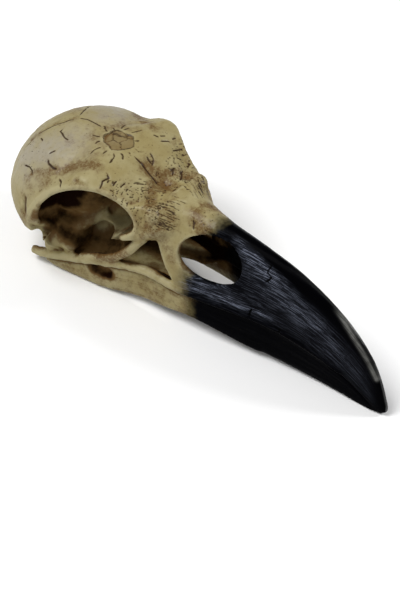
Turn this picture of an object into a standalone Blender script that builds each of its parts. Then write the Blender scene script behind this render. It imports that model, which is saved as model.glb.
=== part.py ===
"""Cast resin raven skull with its jaw shut, lying on the lower jaw.

Places are given the way a skull is measured: a station is the distance in millimetres
behind the tip of the bill, side is the distance from the middle plane (the animal's left
is positive) and height is above the floor. The last step cuts the cast along thin planes
into its named parts.
"""
import math

import bmesh
import bpy
from mathutils import Matrix, Vector

MM = 0.001

# ---- driving dimensions, in millimetres ----
SKULL_LENGTH = 211.5          # bill tip to the back of the head
DOME_STATION = 173.2          # middle of the braincase
DOME_HEIGHT = 34.8
DOME_RADII = (37.3, 39.2, 32.6)
DOME_PITCH = -5.0             # degrees, back of the head down
HINGE_STATION = 120.0         # groove where the bill meets the forehead
NOSE_STATION = 100.0          # where the black bill begins
JAW_STATION = 104.0           # where the black front of the jaw ends
ROOF_HEIGHT = 47.0            # between the roof of the nose and its side walls
BAR_DEPTH = 4.0               # from a cheek bar's outer side to the cut inside it
BAR_RISE = 2.6                # from a cheek bar's middle to the cut over it
WALL = 3.2                    # thickness of the bill's walls round the nostrils
SEAM = 0.3                    # gap that parts two named pieces
VOXEL = 0.8                   # size of the casting's smallest facets before thinning
TRIANGLES = 5700              # of the whole skull before it is parted

# Culmen, the ridge of the bill from its tip to the forehead: station, height
CULMEN = ((-2.2, 1.5), (-0.8, 6), (1, 12), (4, 20), (8, 27), (13, 32.5), (19, 37.5), (27, 42.6),
          (39, 47.8), (53, 51.8), (67, 53.6), (81, 54.8), (92, 55.2), (105, 56.0), (115, 57.2),
          (122, 58.5))
# Mouth line and then the cheek bar: station, side, height
MOUTH = ((-2.2, 1.2, 0.2), (3, 2.6, 2.6), (22, 5.0, 13.4), (43, 7.9, 20.4), (62, 10.3, 22.2),
         (73, 12.1, 21.6), (94, 15.2, 19.8), (106, 17, 18.4))
BAR = ((105.7, 16.8, 18.6), (111.2, 17.6, 19.0), (115.4, 18.3, 20.4), (120.6, 19.2, 21.2),
       (126, 20.0, 21.0), (132.5, 21.0, 19.7), (142, 22.9, 17.2), (150.6, 24.6, 14.6), (162.2, 26.6, 10.7),
       (169.5, 27.8, 8.4), (176.7, 28.5, 6.0), (183.7, 29.4, 4.4))
# Lower edge of the jaw: station, side, height
JAW_EDGE = ((-1, 1.2, -0.6), (6, 3.0, -0.8), (20, 3.9, -0.6), (35, 5.0, -0.2), (52, 7.6, 0.8),
            (70, 11.4, 2.2), (83, 14.0, 4.0), (98, 16.4, 5.4), (112, 17.8, 4.0), (125, 19.4, 2.8),
            (136, 21.8, 1.4), (148, 24.2, -0.4), (161, 26.2, -0.6), (171, 27.7, -0.4),
            (184, 29.4, 2.0))
# Rim of the eye socket from its lower back corner over the top to the hook in front
RIM = ((175.5, 26.5, 22.5), (177, 30, 26), (178.2, 35, 28.5), (177.8, 38, 33), (176.5, 38.6, 39),
       (173, 36.8, 46.5), (167.5, 34.6, 52.8), (161.5, 32.8, 57.6), (155.5, 31.5, 61.2),
       (149.5, 29.8, 63.0), (143.5, 26.3, 62.0), (138, 23.3, 59.0), (132.5, 21.6, 55.5), (128, 21.4, 51.5),
       (126.4, 21.8, 47.5), (126.8, 22.4, 44.0), (129.4, 23.2, 40.5), (134.5, 24.0, 37.0))
# Where the bone in front of the last rows of the rim runs out: station, side, height
LACRIMAL = ((116, 5.0, 57.2), (112, 6.5, 55), (110, 9.5, 51.5), (110, 12.2, 47), (116, 15.4, 42.6),
            (127, 20.4, 38.6))
SOCKET_CENTRE = (150, 39)     # of the eye socket seen from the side: station, height
# Underside of the palate between the halves of the jaw: station, height
PALATE_FLOOR = ((64, 12), (110, 12.2), (130, 11.2), (140, 9.6), (152, 7.6), (164, 5.6), (174, 4.0),
                (182, 3.0), (192, 1.5))
BONE_COLOUR = (0.42, 0.34, 0.18)
BLACK_COLOUR = (0.012, 0.012, 0.015)
BLACK_PIECES = ("upper_bill", "jaw_front")
CRUMB = 24                    # a body with fewer corners than this is left out
# Space behind the joint of the jaw: station, side of its inner wall, height of its roof
BEHIND = ((172.5, 34.5, 25.5), (174, 33, 26), (178, 28.5, 25), (182.5, 24.5, 23.5), (187, 20.5, 22),
          (194, 14.5, 19.5), (202, 8, 17), (212, 5, 15))
# Roof between the eye sockets: station, half width, height at the edge, crest, depth of valley
BROW = ((168, 22, 52, 67.2, 0.0), (160, 26, 60, 67.6, 0.2), (153, 29.2, 64.4, 67.4, 0.6),
        (147, 27.8, 63.0, 66.6, 1.4), (141, 24.6, 60.0, 65.2, 2.4), (135, 21.8, 55.5, 63.0, 3.6),
        (130, 20.2, 51.0, 61.2, 4.4), (125, 19.0, 47.0, 59.4, 3.2), (119, 17, 42.5, 58, 0.5))


def place(station, side, height):
    """Point of the skull's own measures, in metres with the skull centred over the origin."""
    return Vector(((SKULL_LENGTH / 2 - station) * MM, side * MM, height * MM))


def along(table, station):
    """Values of a table at a station, on a smooth curve through its rows."""
    rows = sorted(table)
    if station <= rows[0][0]:
        return rows[0][1:]
    if station >= rows[-1][0]:
        return rows[-1][1:]
    index = max(i for i in range(len(rows) - 1) if rows[i][0] <= station)
    low, high = rows[index], rows[index + 1]
    before = rows[max(index - 1, 0)]
    after = rows[min(index + 2, len(rows) - 1)]
    span = high[0] - low[0]
    t = (station - low[0]) / span
    values = []
    for k in range(1, len(low)):
        slope_low = (high[k] - before[k]) / (high[0] - before[0])
        slope_high = (after[k] - low[k]) / (after[0] - low[0])
        values.append((2 * t**3 - 3 * t**2 + 1) * low[k] + (t**3 - 2 * t**2 + t) * span * slope_low
                      + (3 * t**2 - 2 * t**3) * high[k] + (t**3 - t**2) * span * slope_high)
    return values


def steps(first, last, count):
    return [first + (last - first) * i / (count - 1) for i in range(count)]


def clear_scene():
    for thing in list(bpy.data.objects):
        bpy.data.objects.remove(thing)


def new_object(name, mesh):
    thing = bpy.data.objects.new(name, mesh)
    bpy.context.scene.collection.objects.link(thing)
    return thing


def mesh_of(bm, name):
    bmesh.ops.recalc_face_normals(bm, faces=bm.faces)
    mesh = bpy.data.meshes.new(name)
    bm.to_mesh(mesh)
    bm.free()
    return new_object(name, mesh)


def loft(name, rings):
    """Closed skin through rings of equally many points, with a fan over each end."""
    bm = bmesh.new()
    rows = [[bm.verts.new(point) for point in ring] for ring in rings]
    count = len(rows[0])
    for row, following in zip(rows, rows[1:]):
        for i in range(count):
            j = (i + 1) % count
            bm.faces.new((row[i], row[j], following[j], following[i]))
    for row in (rows[0], rows[-1]):
        middle = sum((v.co for v in row), Vector()) / count
        hub = bm.verts.new(middle)
        for i in range(count):
            bm.faces.new((row[i], row[(i + 1) % count], hub))
    return mesh_of(bm, name)


def ball(name, centre, radii, turn=0.0, tilt=0.0):
    """Ellipsoid at a place, with radii along, across and up, turned in plan and then tilted."""
    bm = bmesh.new()
    bmesh.ops.create_uvsphere(bm, u_segments=40, v_segments=24, radius=1.0)
    size = Matrix.Diagonal((radii[0] * MM, radii[1] * MM, radii[2] * MM, 1))
    spin = Matrix.Rotation(math.radians(turn), 4, "Z") @ Matrix.Rotation(math.radians(tilt), 4, "Y")
    bmesh.ops.transform(bm, matrix=Matrix.Translation(place(*centre)) @ spin @ size, verts=bm.verts)
    return mesh_of(bm, name)


def rod(name, points):
    """Round bar along (station, side, height, radius) points, as a mesh."""
    curve = bpy.data.curves.new(name, "CURVE")
    curve.dimensions = "3D"
    curve.bevel_depth = MM
    curve.bevel_resolution = 3
    curve.resolution_u = 6
    curve.use_fill_caps = True
    spline = curve.splines.new("NURBS")
    spline.points.add(len(points) - 1)
    for knot, (station, side, height, radius) in zip(spline.points, points):
        knot.co = (*place(station, side, height), 1)
        knot.radius = radius
    spline.use_endpoint_u = True
    spline.order_u = 4
    guide = new_object(name, curve)
    depsgraph = bpy.context.evaluated_depsgraph_get()
    mesh = bpy.data.meshes.new_from_object(guide.evaluated_get(depsgraph))
    bpy.data.objects.remove(guide)
    bm = bmesh.new()
    bm.from_mesh(mesh)
    bmesh.ops.remove_doubles(bm, verts=bm.verts, dist=0.00001)
    return mesh_of(bm, name)


def outline(half_width, half_height, power, count=28):
    """Superellipse as (across, up) pairs."""
    pairs = []
    for i in range(count):
        angle = 2 * math.pi * i / count
        c, s = math.cos(angle), math.sin(angle)
        pairs.append((half_width * math.copysign(abs(c) ** (2 / power), c),
                      half_height * math.copysign(abs(s) ** (2 / power), s)))
    return pairs


# ---- solid forms of the cast ----
def dome():
    return [ball("dome", (DOME_STATION, 0, DOME_HEIGHT), DOME_RADII, tilt=DOME_PITCH)]


def brow():
    """Roof between the eye sockets, a shallow valley between two swellings."""
    rings = []
    for station in steps(BROW[-1][0], BROW[0][0], 18):
        half, edge, crest, valley = along(BROW, station)
        floor = edge - 10
        ring = []
        for i in range(17):
            side = -half + 2 * half * i / 16
            share = min(abs(side) / half, 1)
            rise = edge + (crest - edge) * (1 - share**2.4)
            ring.append(place(station, side, rise - valley * math.exp(-(side / 7.0) ** 2)))
        for i in range(11):
            side = half * 0.9 - 1.8 * half * i / 10
            ring.append(place(station, side, floor + 4 * (abs(side) / half) ** 3))
        rings.append(ring)
    return [loft("brow", rings)]


def bill_section(station):
    """Half width, mouth height, culmen height and squareness of the upper bill."""
    top = along(CULMEN, station)[0]
    side, mouth = along(MOUTH, min(station, 106))
    mouth += max(station - 106, 0) * 1.2
    square = 1.78 + 0.5 * max(min((station - 88) / 28, 1), 0)
    return side, mouth, top, square


def upper_bill():
    """Arch of the bill from the tip to the forehead."""
    rings = []
    for station in (-1.3, -0.8, 0.2, 1.5, 3, 5, 8, 12, 16, *steps(21, 122, 26)):
        side, mouth, top, square = bill_section(station)
        ring = []
        for across, up in outline(side, top - mouth, square, 40):
            ring.append(place(station, across, mouth + (up if up >= 0 else up * 0.06)))
        rings.append(ring)
    return [loft("bill", rings)]


def jaw_front():
    """Front of the lower jaw, where its halves are one: a trough seen from below."""
    rings = []
    for station in (0.5, 2, 4, 7, 12, 18, *steps(25, 72, 11)):
        side, mouth = along(MOUTH, station)
        low_side, low = along(JAW_EDGE, station)
        top = mouth + 1.0
        ring = []
        for across, up in outline(1.0, 1.0, 7.0, 32):
            share = (up + 1) / 2
            half = low_side + (side - 0.6 - low_side) * share**0.7
            ring.append(place(station, half * across, low + (top - low) * share))
        rings.append(ring)
    return [loft("chin", rings)]


def jaw_wall(station):
    """Thickness of the lower edge of each half of the jaw."""
    return 2.4 + 2.2 * min(max((station - 114) / 20, 0), 1)


def jaw_ramus(sign):
    rings = []
    for station in (*steps(64, 176, 22), 181, 185):
        if station < 103:
            side, mouth = along(MOUTH, station)
        else:
            side, mouth = along(BAR, station)
        low_side, low = along(JAW_EDGE, station)
        top = mouth + 0.5
        wall = jaw_wall(station)
        ring = []
        for across, up in outline(0.5, 1.0, 4.0, 20):
            share = (up + 1) / 2
            thick = wall + (4.6 - wall) * share
            outer = low_side + (side - 0.4 - low_side) * share
            ring.append(place(station, sign * (outer + (across - 0.5) * thick), low + (top - low) * share))
        rings.append(ring)
    return loft("ramus", rings)


def cheek_bar(sign):
    """Bar from the joint of the jaw to the bill, running on as the bill's cutting edge."""
    points = [(s, sign * (y - 1.0), z, 2.3) for s, y, z in BAR]
    points += [(186.5, sign * 28.8, 4.2, 2.0)]
    lip = [(s, sign * (y - 0.4), z, 0.9 + s / 100) for s, y, z in MOUTH[2:-1]]
    return rod("bar", [*lip, *points[1:]])


def rim(sign):
    points = []
    for i, (station, side, height) in enumerate(RIM):
        radius = 1.9 if i < 9 else 1.6
        points.append((station, sign * (side - 1.2), height - 1.3 * max(0, (height - 45) / 18), radius))
    return rod("rim", points)


def lacrimal(sign):
    """Broad bone in front of the eye socket, and its hook."""
    rings = []
    for inner, outer in zip(LACRIMAL, RIM[-len(LACRIMAL):]):
        middle = [0.4 * a + 0.6 * b for a, b in zip(inner, outer)]
        rings.append([
            place(outer[0] - 0.3, sign * (outer[1] - 0.4), outer[2]),
            place(middle[0], sign * (middle[1] + 2.0), middle[2]),
            place(inner[0], sign * inner[1], inner[2]),
            place(inner[0] - 2, sign * (inner[1] - 3.5), inner[2] + 1),
            place(outer[0] - 1, sign * (outer[1] - 4.0), outer[2])])
    return loft("lacrimal", rings)


def lacrimal_corner(sign):
    """Swelling where the bone in front of the eye stands out over the root of the bill."""
    return ball("corner", (122.6, sign * 15.4, 52.0), (5.0, 3.9, 4.6), tilt=12)


def eave(sign):
    """Thickening of the brow's edge where it is thinnest, over the front of the socket."""
    return rod("eave", [(143, sign * 22.6, 60.2, 1.6), (138, sign * 19.6, 57.6, 1.8),
                        (133, sign * 17.8, 54.2, 1.9), (127.5, sign * 17.2, 50.5, 1.7)])


def strut(sign):
    """Bar from the bone in front of the eye down to the cheek bar."""
    return rod("strut", [(123.5, sign * 18.0, 42, 2.6), (126.5, sign * 19.6, 37.5, 2.6),
                         (130.5, sign * 20.6, 31, 2.3), (136, sign * 21.6, 24.6, 2.2),
                         (144, sign * 22.6, 19.4, 2.2), (152, sign * 23.6, 16.2, 2.0),
                         (159, sign * 24.8, 13.4, 1.8)])


def skull_base():
    """Floor under the braincase and the palate, between the cheek bars."""
    rows = ((108, 15.5, 14.0, 18.5), (116, 16.5, 14.0, 19), (122, 18, 13.5, 19.0), (130, 18.5, 12.5, 18.5),
            (140, 21, 11, 20), (152, 23, 9, 25), (164, 25, 7, 30), (174, 26.5, 5.5, 30),
            (179, 26.0, 5, 24), (182, 24.5, 6, 20))
    rings = []
    for station in steps(rows[0][0], rows[-1][0], 16):
        half, low, top = along(rows, station)
        rings.append([place(station, across, (low + top) / 2 + up)
                      for across, up in outline(half, (top - low) / 2, 3.4)])
    return [loft("base", rings)]


def inner_skull():
    """Knob under the hole for the neck, and what shows inside the eye sockets: the plate between
    them, the front of the braincase and the ridges from it to the joints of the jaw."""
    pieces = [ball("condyle", (202.5, 0, 15.5), (4.2, 4.2, 3.0)),
              ball("septum", (145, 0, 35), (22, 3.0, 23)),
              ball("inner", (178, 0, 38), (22, 22, 22), tilt=-8)]
    for sign in (-1, 1):
        pieces.append(rod("ridge", [(177, sign * 25.5, 9, 3.4), (175, sign * 25, 15, 4.0),
                                    (171, sign * 21.5, 21, 4.6), (165, sign * 14, 25, 4.2),
                                    (158, sign * 6, 29, 3.0)]))
        pieces.append(ball("quadrate", (173, sign * 17, 17), (10, 10.5, 11), turn=sign * 20))
        pieces.append(ball("knuckle", (168, sign * 22.5, 14.5), (5.0, 4.2, 3.4)))
    return pieces


# ---- hollows ----
def socket(sign):
    """Hollow of the eye socket: the rim's own outline, narrowing towards the middle plane."""
    edge = [*RIM, (143, 25, 31), (152, 26, 27), (163, 27, 24.5)]
    rings = []
    for inward, grow in ((-14, 1.04), (-1, 1.0), (5, 1.0), (10, 0.97), (15, 0.93), (21, 0.86),
                         (27, 0.74), (30, 0.5)):
        ring = []
        for station, side, height in edge:
            deep = side - inward if inward < 6 else side - 5 - (side - 8) * (inward - 5) / 26
            ring.append(place(SOCKET_CENTRE[0] + (station - SOCKET_CENTRE[0]) * grow, sign * deep,
                              SOCKET_CENTRE[1] + (height - SOCKET_CENTRE[1]) * grow))
        rings.append(ring)
    return loft("socket", rings)


def head_side(station, height):
    """Half width of the head at a station and height, on the dome or on the brow."""
    rest = 1 - ((station - DOME_STATION) / DOME_RADII[0])**2
    rest -= ((height - DOME_HEIGHT) / DOME_RADII[2])**2
    dome_side = DOME_RADII[1] * math.sqrt(max(rest, 0))
    half, edge, crest = along(BROW, station)[:3]
    share = min(max((height - edge) / (crest - edge), 0), 1)
    return max(dome_side, half * (1 - share)**0.42)


def visor(sign):
    """Flange that carries the rim of the eye socket out from the head."""
    rings = []
    for index in range(4, 9):
        station, side, height = RIM[index]
        out = Vector((station - SOCKET_CENTRE[0], height - SOCKET_CENTRE[1])).normalized()
        reach = 4 + 2.5 * min(index - 4, 2) if index < 8 else 6
        far = (station + out.x * reach, height + out.y * reach)
        mid = (station + out.x * reach * 0.45, height + out.y * reach * 0.45)
        far = (far[0], min(far[1], 64))
        head = min(head_side(*far), side)
        rings.append([
            place(station + out.x, sign * (side - 0.6), height + out.y),
            place(mid[0], sign * (side * 0.5 + head * 0.5), mid[1]),
            place(far[0], sign * head, far[1]),
            place(far[0], sign * max(head - 8, 0), far[1]),
            place(station + out.x * 0.5, sign * (side - 9), height + out.y * 0.5)])
    return loft("visor", rings)


def cheek(sign):
    """Hollow under the eye, over the palate and inside the cheek bar."""
    return ball("cheek", (156, sign * 26, 20.5), (19.5, 19, 10.5), turn=sign * -4, tilt=-14)


def window(sign):
    """Three-sided opening in front of the strut."""
    rings = []
    for side in (32, 20, 14, 8):
        shrink = 1.0 if side > 15 else 0.85
        corners = ((118.5, 41.5), (112, 24.5), (121, 26.5), (132, 27.0), (127, 35))
        middle = Vector((121.5, 31.5))
        ring = []
        for a in range(5):
            here = Vector(corners[a])
            following = Vector(corners[(a + 1) % 5])
            for k in range(5):
                point = here.lerp(following, k / 5)
                point = middle + (point - middle) * shrink
                ring.append(place(point.x, sign * side, point.y))
        rings.append(ring)
    return loft("window", rings)


def nostril():
    """Oval opening through both sides of the bill."""
    rings = []
    for side in steps(-30, 30, 5):
        ring = []
        for forward, up in outline(16, 10.4, 2.2, 36):
            ring.append(place(91.8 - forward, side, 40.5 + up + forward * 0.06))
        rings.append(ring)
    return loft("nostril", rings)


def nasal_hollow():
    """Inside of the bill round the nostrils, open below between the halves of the jaw."""
    rings = []
    for station in steps(66, 123, 16):
        close = min((station - 62) / 10, 1) ** 0.5 * min((126 - station) / 6, 1) ** 0.5
        side, mouth, top, square = bill_section(station)
        half = max((side - WALL) * close, 1.0)
        rise = (top - mouth - WALL - 0.8) * close
        narrow = min(1, 7.5 / half) if station > 110 else 1
        ring = []
        for across, up in outline(half, 1.0, square, 32):
            if up < 0:
                across *= narrow
            ring.append(place(station, across, mouth + (rise * up if up > 0 else 26 * up)))
        rings.append(ring)
    return loft("nasal", rings)


def jaw_hollow():
    """Space between the halves of the lower jaw, under the palate."""
    rings = []
    for station in steps(60, 196, 20):
        low_side = along(JAW_EDGE, station)[0]
        half = max(low_side - 0.4 - jaw_wall(station), 1.0) * min((station - 58) / 12, 1) ** 0.5
        top = min(14.0, 13.5 - (station - 130) * 0.15) if station > 130 else 14.0
        ring = []
        for across, up in outline(half, 1.0, 5.0, 24):
            ring.append(place(station, across, top * up if up > 0 else 8 * up))
        rings.append(ring)
    return loft("between", rings)


def foramen():
    """Blind round hole low on the back of the head, where the neck began."""
    return ball("foramen", (207, 0, 21), (8, 6.5, 5.5), tilt=-40)


def jaw_window(sign):
    """Long recess high on the outer side of each half of the jaw."""
    return ball("jaw_window", (146.5, sign * 26, 10.6), (8.5, 5.6, 3.2), tilt=-14)


def base_cut():
    """What is cut away under the back of the braincase and behind the joints of the jaw."""
    pieces = [ball("under", (208, 0, -6), (27, 60, 24))]
    for sign in (-1, 1):
        rings = []
        for station, inner, top in BEHIND:
            middle, half, rise = (inner + 66) / 2, (66 - inner) / 2, (top + 16) / 2
            rings.append([place(station, sign * (middle + across), top - rise + up)
                          for across, up in outline(half, rise, 5)])
        pieces.append(loft("behind", rings))
    return pieces


def joined(name, pieces):
    bm = bmesh.new()
    for piece in pieces:
        bm.from_mesh(piece.data)
        bpy.data.objects.remove(piece)
    mesh = bpy.data.meshes.new(name)
    bm.to_mesh(mesh)
    bm.free()
    return new_object(name, mesh)


def settle(thing):
    """Replace an object's mesh by what its modifiers make of it."""
    depsgraph = bpy.context.evaluated_depsgraph_get()
    mesh = bpy.data.meshes.new_from_object(thing.evaluated_get(depsgraph))
    thing.modifiers.clear()
    thing.data = mesh


def remesh(thing, voxel):
    change = thing.modifiers.new("cast", "REMESH")
    change.mode = "VOXEL"
    change.voxel_size = voxel * MM
    settle(thing)


def smooth(thing, times, factor=0.5):
    change = thing.modifiers.new("soften", "SMOOTH")
    change.factor = factor
    change.iterations = times
    settle(thing)


def cut(thing, cutter):
    change = thing.modifiers.new("cut", "BOOLEAN")
    change.operation = "DIFFERENCE"
    change.object = cutter
    settle(thing)
    bpy.data.objects.remove(cutter)


def cast_skull():
    """The whole skull as one closed mesh, like the real casting."""
    solids = [*dome(), *brow(), *upper_bill(), *jaw_front(), *skull_base()]
    rods = inner_skull()
    hollows = [nostril(), nasal_hollow(), jaw_hollow(), foramen(), *base_cut()]
    for sign in (-1, 1):
        solids += [visor(sign), jaw_ramus(sign), lacrimal(sign), lacrimal_corner(sign)]
        rods += [cheek_bar(sign), rim(sign), eave(sign), strut(sign)]
        hollows += [socket(sign), cheek(sign), window(sign), jaw_window(sign)]
    body = joined("cast", solids)
    remesh(body, VOXEL)
    smooth(body, 5)
    cutter = joined("hollows", hollows)
    remesh(cutter, VOXEL)
    smooth(cutter, 4)
    cut(body, cutter)
    body = joined("cast", [body, *rods])
    remesh(body, VOXEL)
    smooth(body, 6)
    return body


def thin(thing, triangles):
    """Fewer and larger facets, with as many triangles as asked for."""
    change = thing.modifiers.new("thin", "DECIMATE")
    change.ratio = triangles / (2 * len(thing.data.polygons))
    change.use_collapse_triangulate = True
    settle(thing)


# ---- thin cuts that part the cast into its named pieces ----
def sheet(name, rows):
    """Thin closed sheet through rows of (station, side, height) points, SEAM thick."""
    rings = []
    for row in rows:
        above = [place(s, y, h + SEAM / 2) for s, y, h in row]
        below = [place(s, y, h - SEAM / 2) for s, y, h in reversed(row)]
        rings.append(above + below)
    return loft(name, rings)


def block(name, low, high):
    """Box between two opposite corners, each a station, side and height."""
    first, last = place(*low), place(*high)
    bm = bmesh.new()
    bmesh.ops.create_cube(bm, size=1.0)
    size = [abs(b - a) for a, b in zip(first, last)]
    spot = Matrix.Translation((first + last) / 2)
    bmesh.ops.transform(bm, matrix=spot @ Matrix.Diagonal((*size, 1)), verts=bm.verts)
    return mesh_of(bm, name)


def cross_cut(station):
    """Thin upright cut right across the skull."""
    return block("cross_cut", (station - SEAM / 2, -80, -20), (station + SEAM / 2, 80, 100))


def roof_cut():
    """Level cut between the roof of the nose and its two side walls."""
    return block("roof_cut", (NOSE_STATION - 0.1, -80, ROOF_HEIGHT - SEAM / 2),
                 (HINGE_STATION + 0.1, 80, ROOF_HEIGHT + SEAM / 2))


def mouth_height(station):
    """Height of the line where the two halves of the bill, and then bar and jaw, meet."""
    if station < 106:
        return along(MOUTH, station)[1] - 1.6
    return along(BAR, station)[1] - 2.4 + 0.8 * max(1 - (station - 106) / 10, 0)


def mouth_cut():
    """Sheet between the upper skull and the lower jaw, lower inside the jaw than at its sides."""
    half = SEAM / 2
    rings = []
    for station in (*steps(-8, 62, 9), *steps(63, 78, 11), *steps(86, 168, 10), *steps(171, 192, 7)):
        side = along(MOUTH, station)[0] if station < 106 else along(BAR, station)[0]
        outer = mouth_height(station)
        inner = outer
        if station > 64:
            share = min((station - 64) / 10, 1)
            inner = outer + (along(PALATE_FLOOR, station)[0] - outer) * share
        wall = max(side - 1.6, 2)
        right = ((70, outer), (wall, outer), (wall - 1.2, inner))
        left = right[::-1]
        above = [(-y + half, h + half) for y, h in right] + [(y - half, h + half) for y, h in left]
        below = [(-y - half, h - half) for y, h in right] + [(y + half, h - half) for y, h in left]
        rings.append([place(station, y, h) for y, h in above + below[::-1]])
    return loft("mouth_cut", rings)


def bar_cuts(sign):
    """Thin sheets that part a cheek bar from the skull, one inside it and one over it."""
    inside, over = [], []
    for station in steps(HINGE_STATION - 0.1, 194, 14):
        side, height = along(BAR, station)
        inner = side - BAR_DEPTH
        top = height + BAR_RISE
        low = mouth_height(station) - 9
        inside.append([place(station, sign * y, h) for y, h in
                       ((inner - SEAM, low), (inner, low), (inner, top + SEAM), (inner - SEAM, top + SEAM))])
        over.append([place(station, sign * y, h) for y, h in
                     ((inner - SEAM, top), (60, top), (60, top + SEAM), (inner - SEAM, top + SEAM))])
    return [loft("bar_inside", inside), loft("bar_over", over)]


def bodies(thing):
    """The closed bodies of a mesh, largest first, as sets of vertex numbers."""
    links = {v.index: [] for v in thing.data.vertices}
    for a, b in (edge.vertices for edge in thing.data.edges):
        links[a].append(b)
        links[b].append(a)
    groups = []
    while links:
        seed = next(iter(links))
        group, front = {seed}, [seed]
        while front:
            for other in links.pop(front.pop()):
                if other not in group:
                    group.add(other)
                    front.append(other)
        groups.append(group)
    return groups


def part_out(thing, name_for):
    """An object for each closed body of a mesh, named by the middle of its box."""
    pieces = []
    for group in bodies(thing):
        if len(group) < CRUMB:
            continue
        bm = bmesh.new()
        bm.from_mesh(thing.data)
        others = [v for v in bm.verts if v.index not in group]
        bmesh.ops.delete(bm, geom=others, context="VERTS")
        middle = box_middle([v.co for v in bm.verts]) / MM
        pieces.append(mesh_of(bm, name_for(SKULL_LENGTH / 2 - middle.x, middle.y, middle.z)))
    bpy.data.objects.remove(thing)
    return pieces


def box_middle(points):
    """Middle of the box that holds some points."""
    low = Vector([min(point[k] for point in points) for k in range(3)])
    high = Vector([max(point[k] for point in points) for k in range(3)])
    return (low + high) / 2


def side_name(name, side):
    return name + ("_left" if side > 0 else "_right")


def half_name(station, side, height):
    return "lower" if height < 15 else "upper"


def jaw_name(station, side, height):
    if station < JAW_STATION:
        return "jaw_front"
    return side_name("jaw", side)


def skull_name(station, side, height):
    if station < NOSE_STATION:
        return "upper_bill"
    if station > HINGE_STATION:
        return "cranium" if abs(side) < 10 else side_name("cheek_bar", side)
    if height > ROOF_HEIGHT:
        return "nose_roof"
    return side_name("nose_wall", side)


def parted(body):
    """The named pieces of the cast."""
    cut(body, mouth_cut())
    halves = {piece.name: piece for piece in part_out(body, half_name)}
    lower, upper = halves["lower"], halves["upper"]
    cut(lower, cross_cut(JAW_STATION))
    cut(upper, cross_cut(NOSE_STATION))
    cut(upper, cross_cut(HINGE_STATION))
    cut(upper, roof_cut())
    for sign in (-1, 1):
        for cutter in bar_cuts(sign):
            cut(upper, cutter)
    return part_out(lower, jaw_name) + part_out(upper, skull_name)


def set_down(nodes):
    """Move the pieces so that the skull lies on the floor, centred over the origin."""
    points = [v.co for node in nodes for v in node.data.vertices]
    middle = box_middle(points)
    shift = Matrix.Translation((-middle.x, -middle.y, -min(point.z for point in points)))
    for node in nodes:
        node.data.transform(shift)


def resin(name, colour, roughness):
    """Painted resin."""
    material = bpy.data.materials.new(name)
    material.use_nodes = True
    shader = material.node_tree.nodes["Principled BSDF"]
    shader.inputs["Base Color"].default_value = (*colour, 1)
    shader.inputs["Roughness"].default_value = roughness
    shader.inputs["Metallic"].default_value = 0.0
    return material


def main():
    clear_scene()
    body = cast_skull()
    thin(body, TRIANGLES)
    nodes = parted(body)
    set_down(nodes)
    bone = resin("bone_resin", BONE_COLOUR, 0.55)
    black = resin("black_resin", BLACK_COLOUR, 0.35)
    collection = bpy.data.collections.new("raven_skull")
    bpy.context.scene.collection.children.link(collection)
    for node in nodes:
        node.data.materials.append(black if node.name in BLACK_PIECES else bone)
        bpy.context.scene.collection.objects.unlink(node)
        collection.objects.link(node)


if __name__ == "__main__":
    main()
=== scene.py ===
# %% [markdown]
# # A raven skull in painted resin
# The object is a cast ornament: a raven skull with its jaw shut, about 21 cm long, poured in
# one piece of resin, engraved with cracks, washed brown in its hollows and painted black on
# the bill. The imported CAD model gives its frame. This lesson casts the same skull again with
# fine facets, engraves it, parts it along the borders of the CAD pieces and paints it.

import math

import bmesh
import bpy
import numpy as np
from mathutils import Matrix, Vector
from mathutils.bvhtree import BVHTree
from mathutils.kdtree import KDTree


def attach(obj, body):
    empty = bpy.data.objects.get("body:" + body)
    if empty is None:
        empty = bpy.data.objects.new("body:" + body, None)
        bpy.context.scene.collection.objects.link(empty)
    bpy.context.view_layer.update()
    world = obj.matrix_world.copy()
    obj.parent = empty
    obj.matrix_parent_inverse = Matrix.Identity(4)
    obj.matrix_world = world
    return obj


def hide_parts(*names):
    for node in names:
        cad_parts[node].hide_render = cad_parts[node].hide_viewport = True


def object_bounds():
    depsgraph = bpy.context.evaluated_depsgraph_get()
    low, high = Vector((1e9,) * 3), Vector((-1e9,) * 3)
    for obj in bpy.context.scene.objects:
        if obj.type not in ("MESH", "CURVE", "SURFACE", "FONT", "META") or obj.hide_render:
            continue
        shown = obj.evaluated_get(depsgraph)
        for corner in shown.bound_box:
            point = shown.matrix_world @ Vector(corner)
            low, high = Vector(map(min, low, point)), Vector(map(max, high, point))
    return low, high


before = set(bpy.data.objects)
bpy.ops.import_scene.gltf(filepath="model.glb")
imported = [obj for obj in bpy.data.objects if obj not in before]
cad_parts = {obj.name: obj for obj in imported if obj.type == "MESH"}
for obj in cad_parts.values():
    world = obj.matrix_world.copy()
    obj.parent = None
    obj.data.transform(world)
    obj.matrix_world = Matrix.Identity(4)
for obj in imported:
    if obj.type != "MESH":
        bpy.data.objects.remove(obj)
cad_box = [list(corner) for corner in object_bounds()]
print("CAD nodes:", ", ".join(sorted(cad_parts)))

# %% [markdown]
# ## Measures of the skull
# A skull is measured by stations: millimetres behind the tip of the bill. Side is the
# distance from the middle plane, the animal's left being positive, and height is above the
# floor. A few rows for each edge are enough, because a smooth curve runs through them. The
# rows are the same as in the CAD source, so that both castings have one shape.

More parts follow.
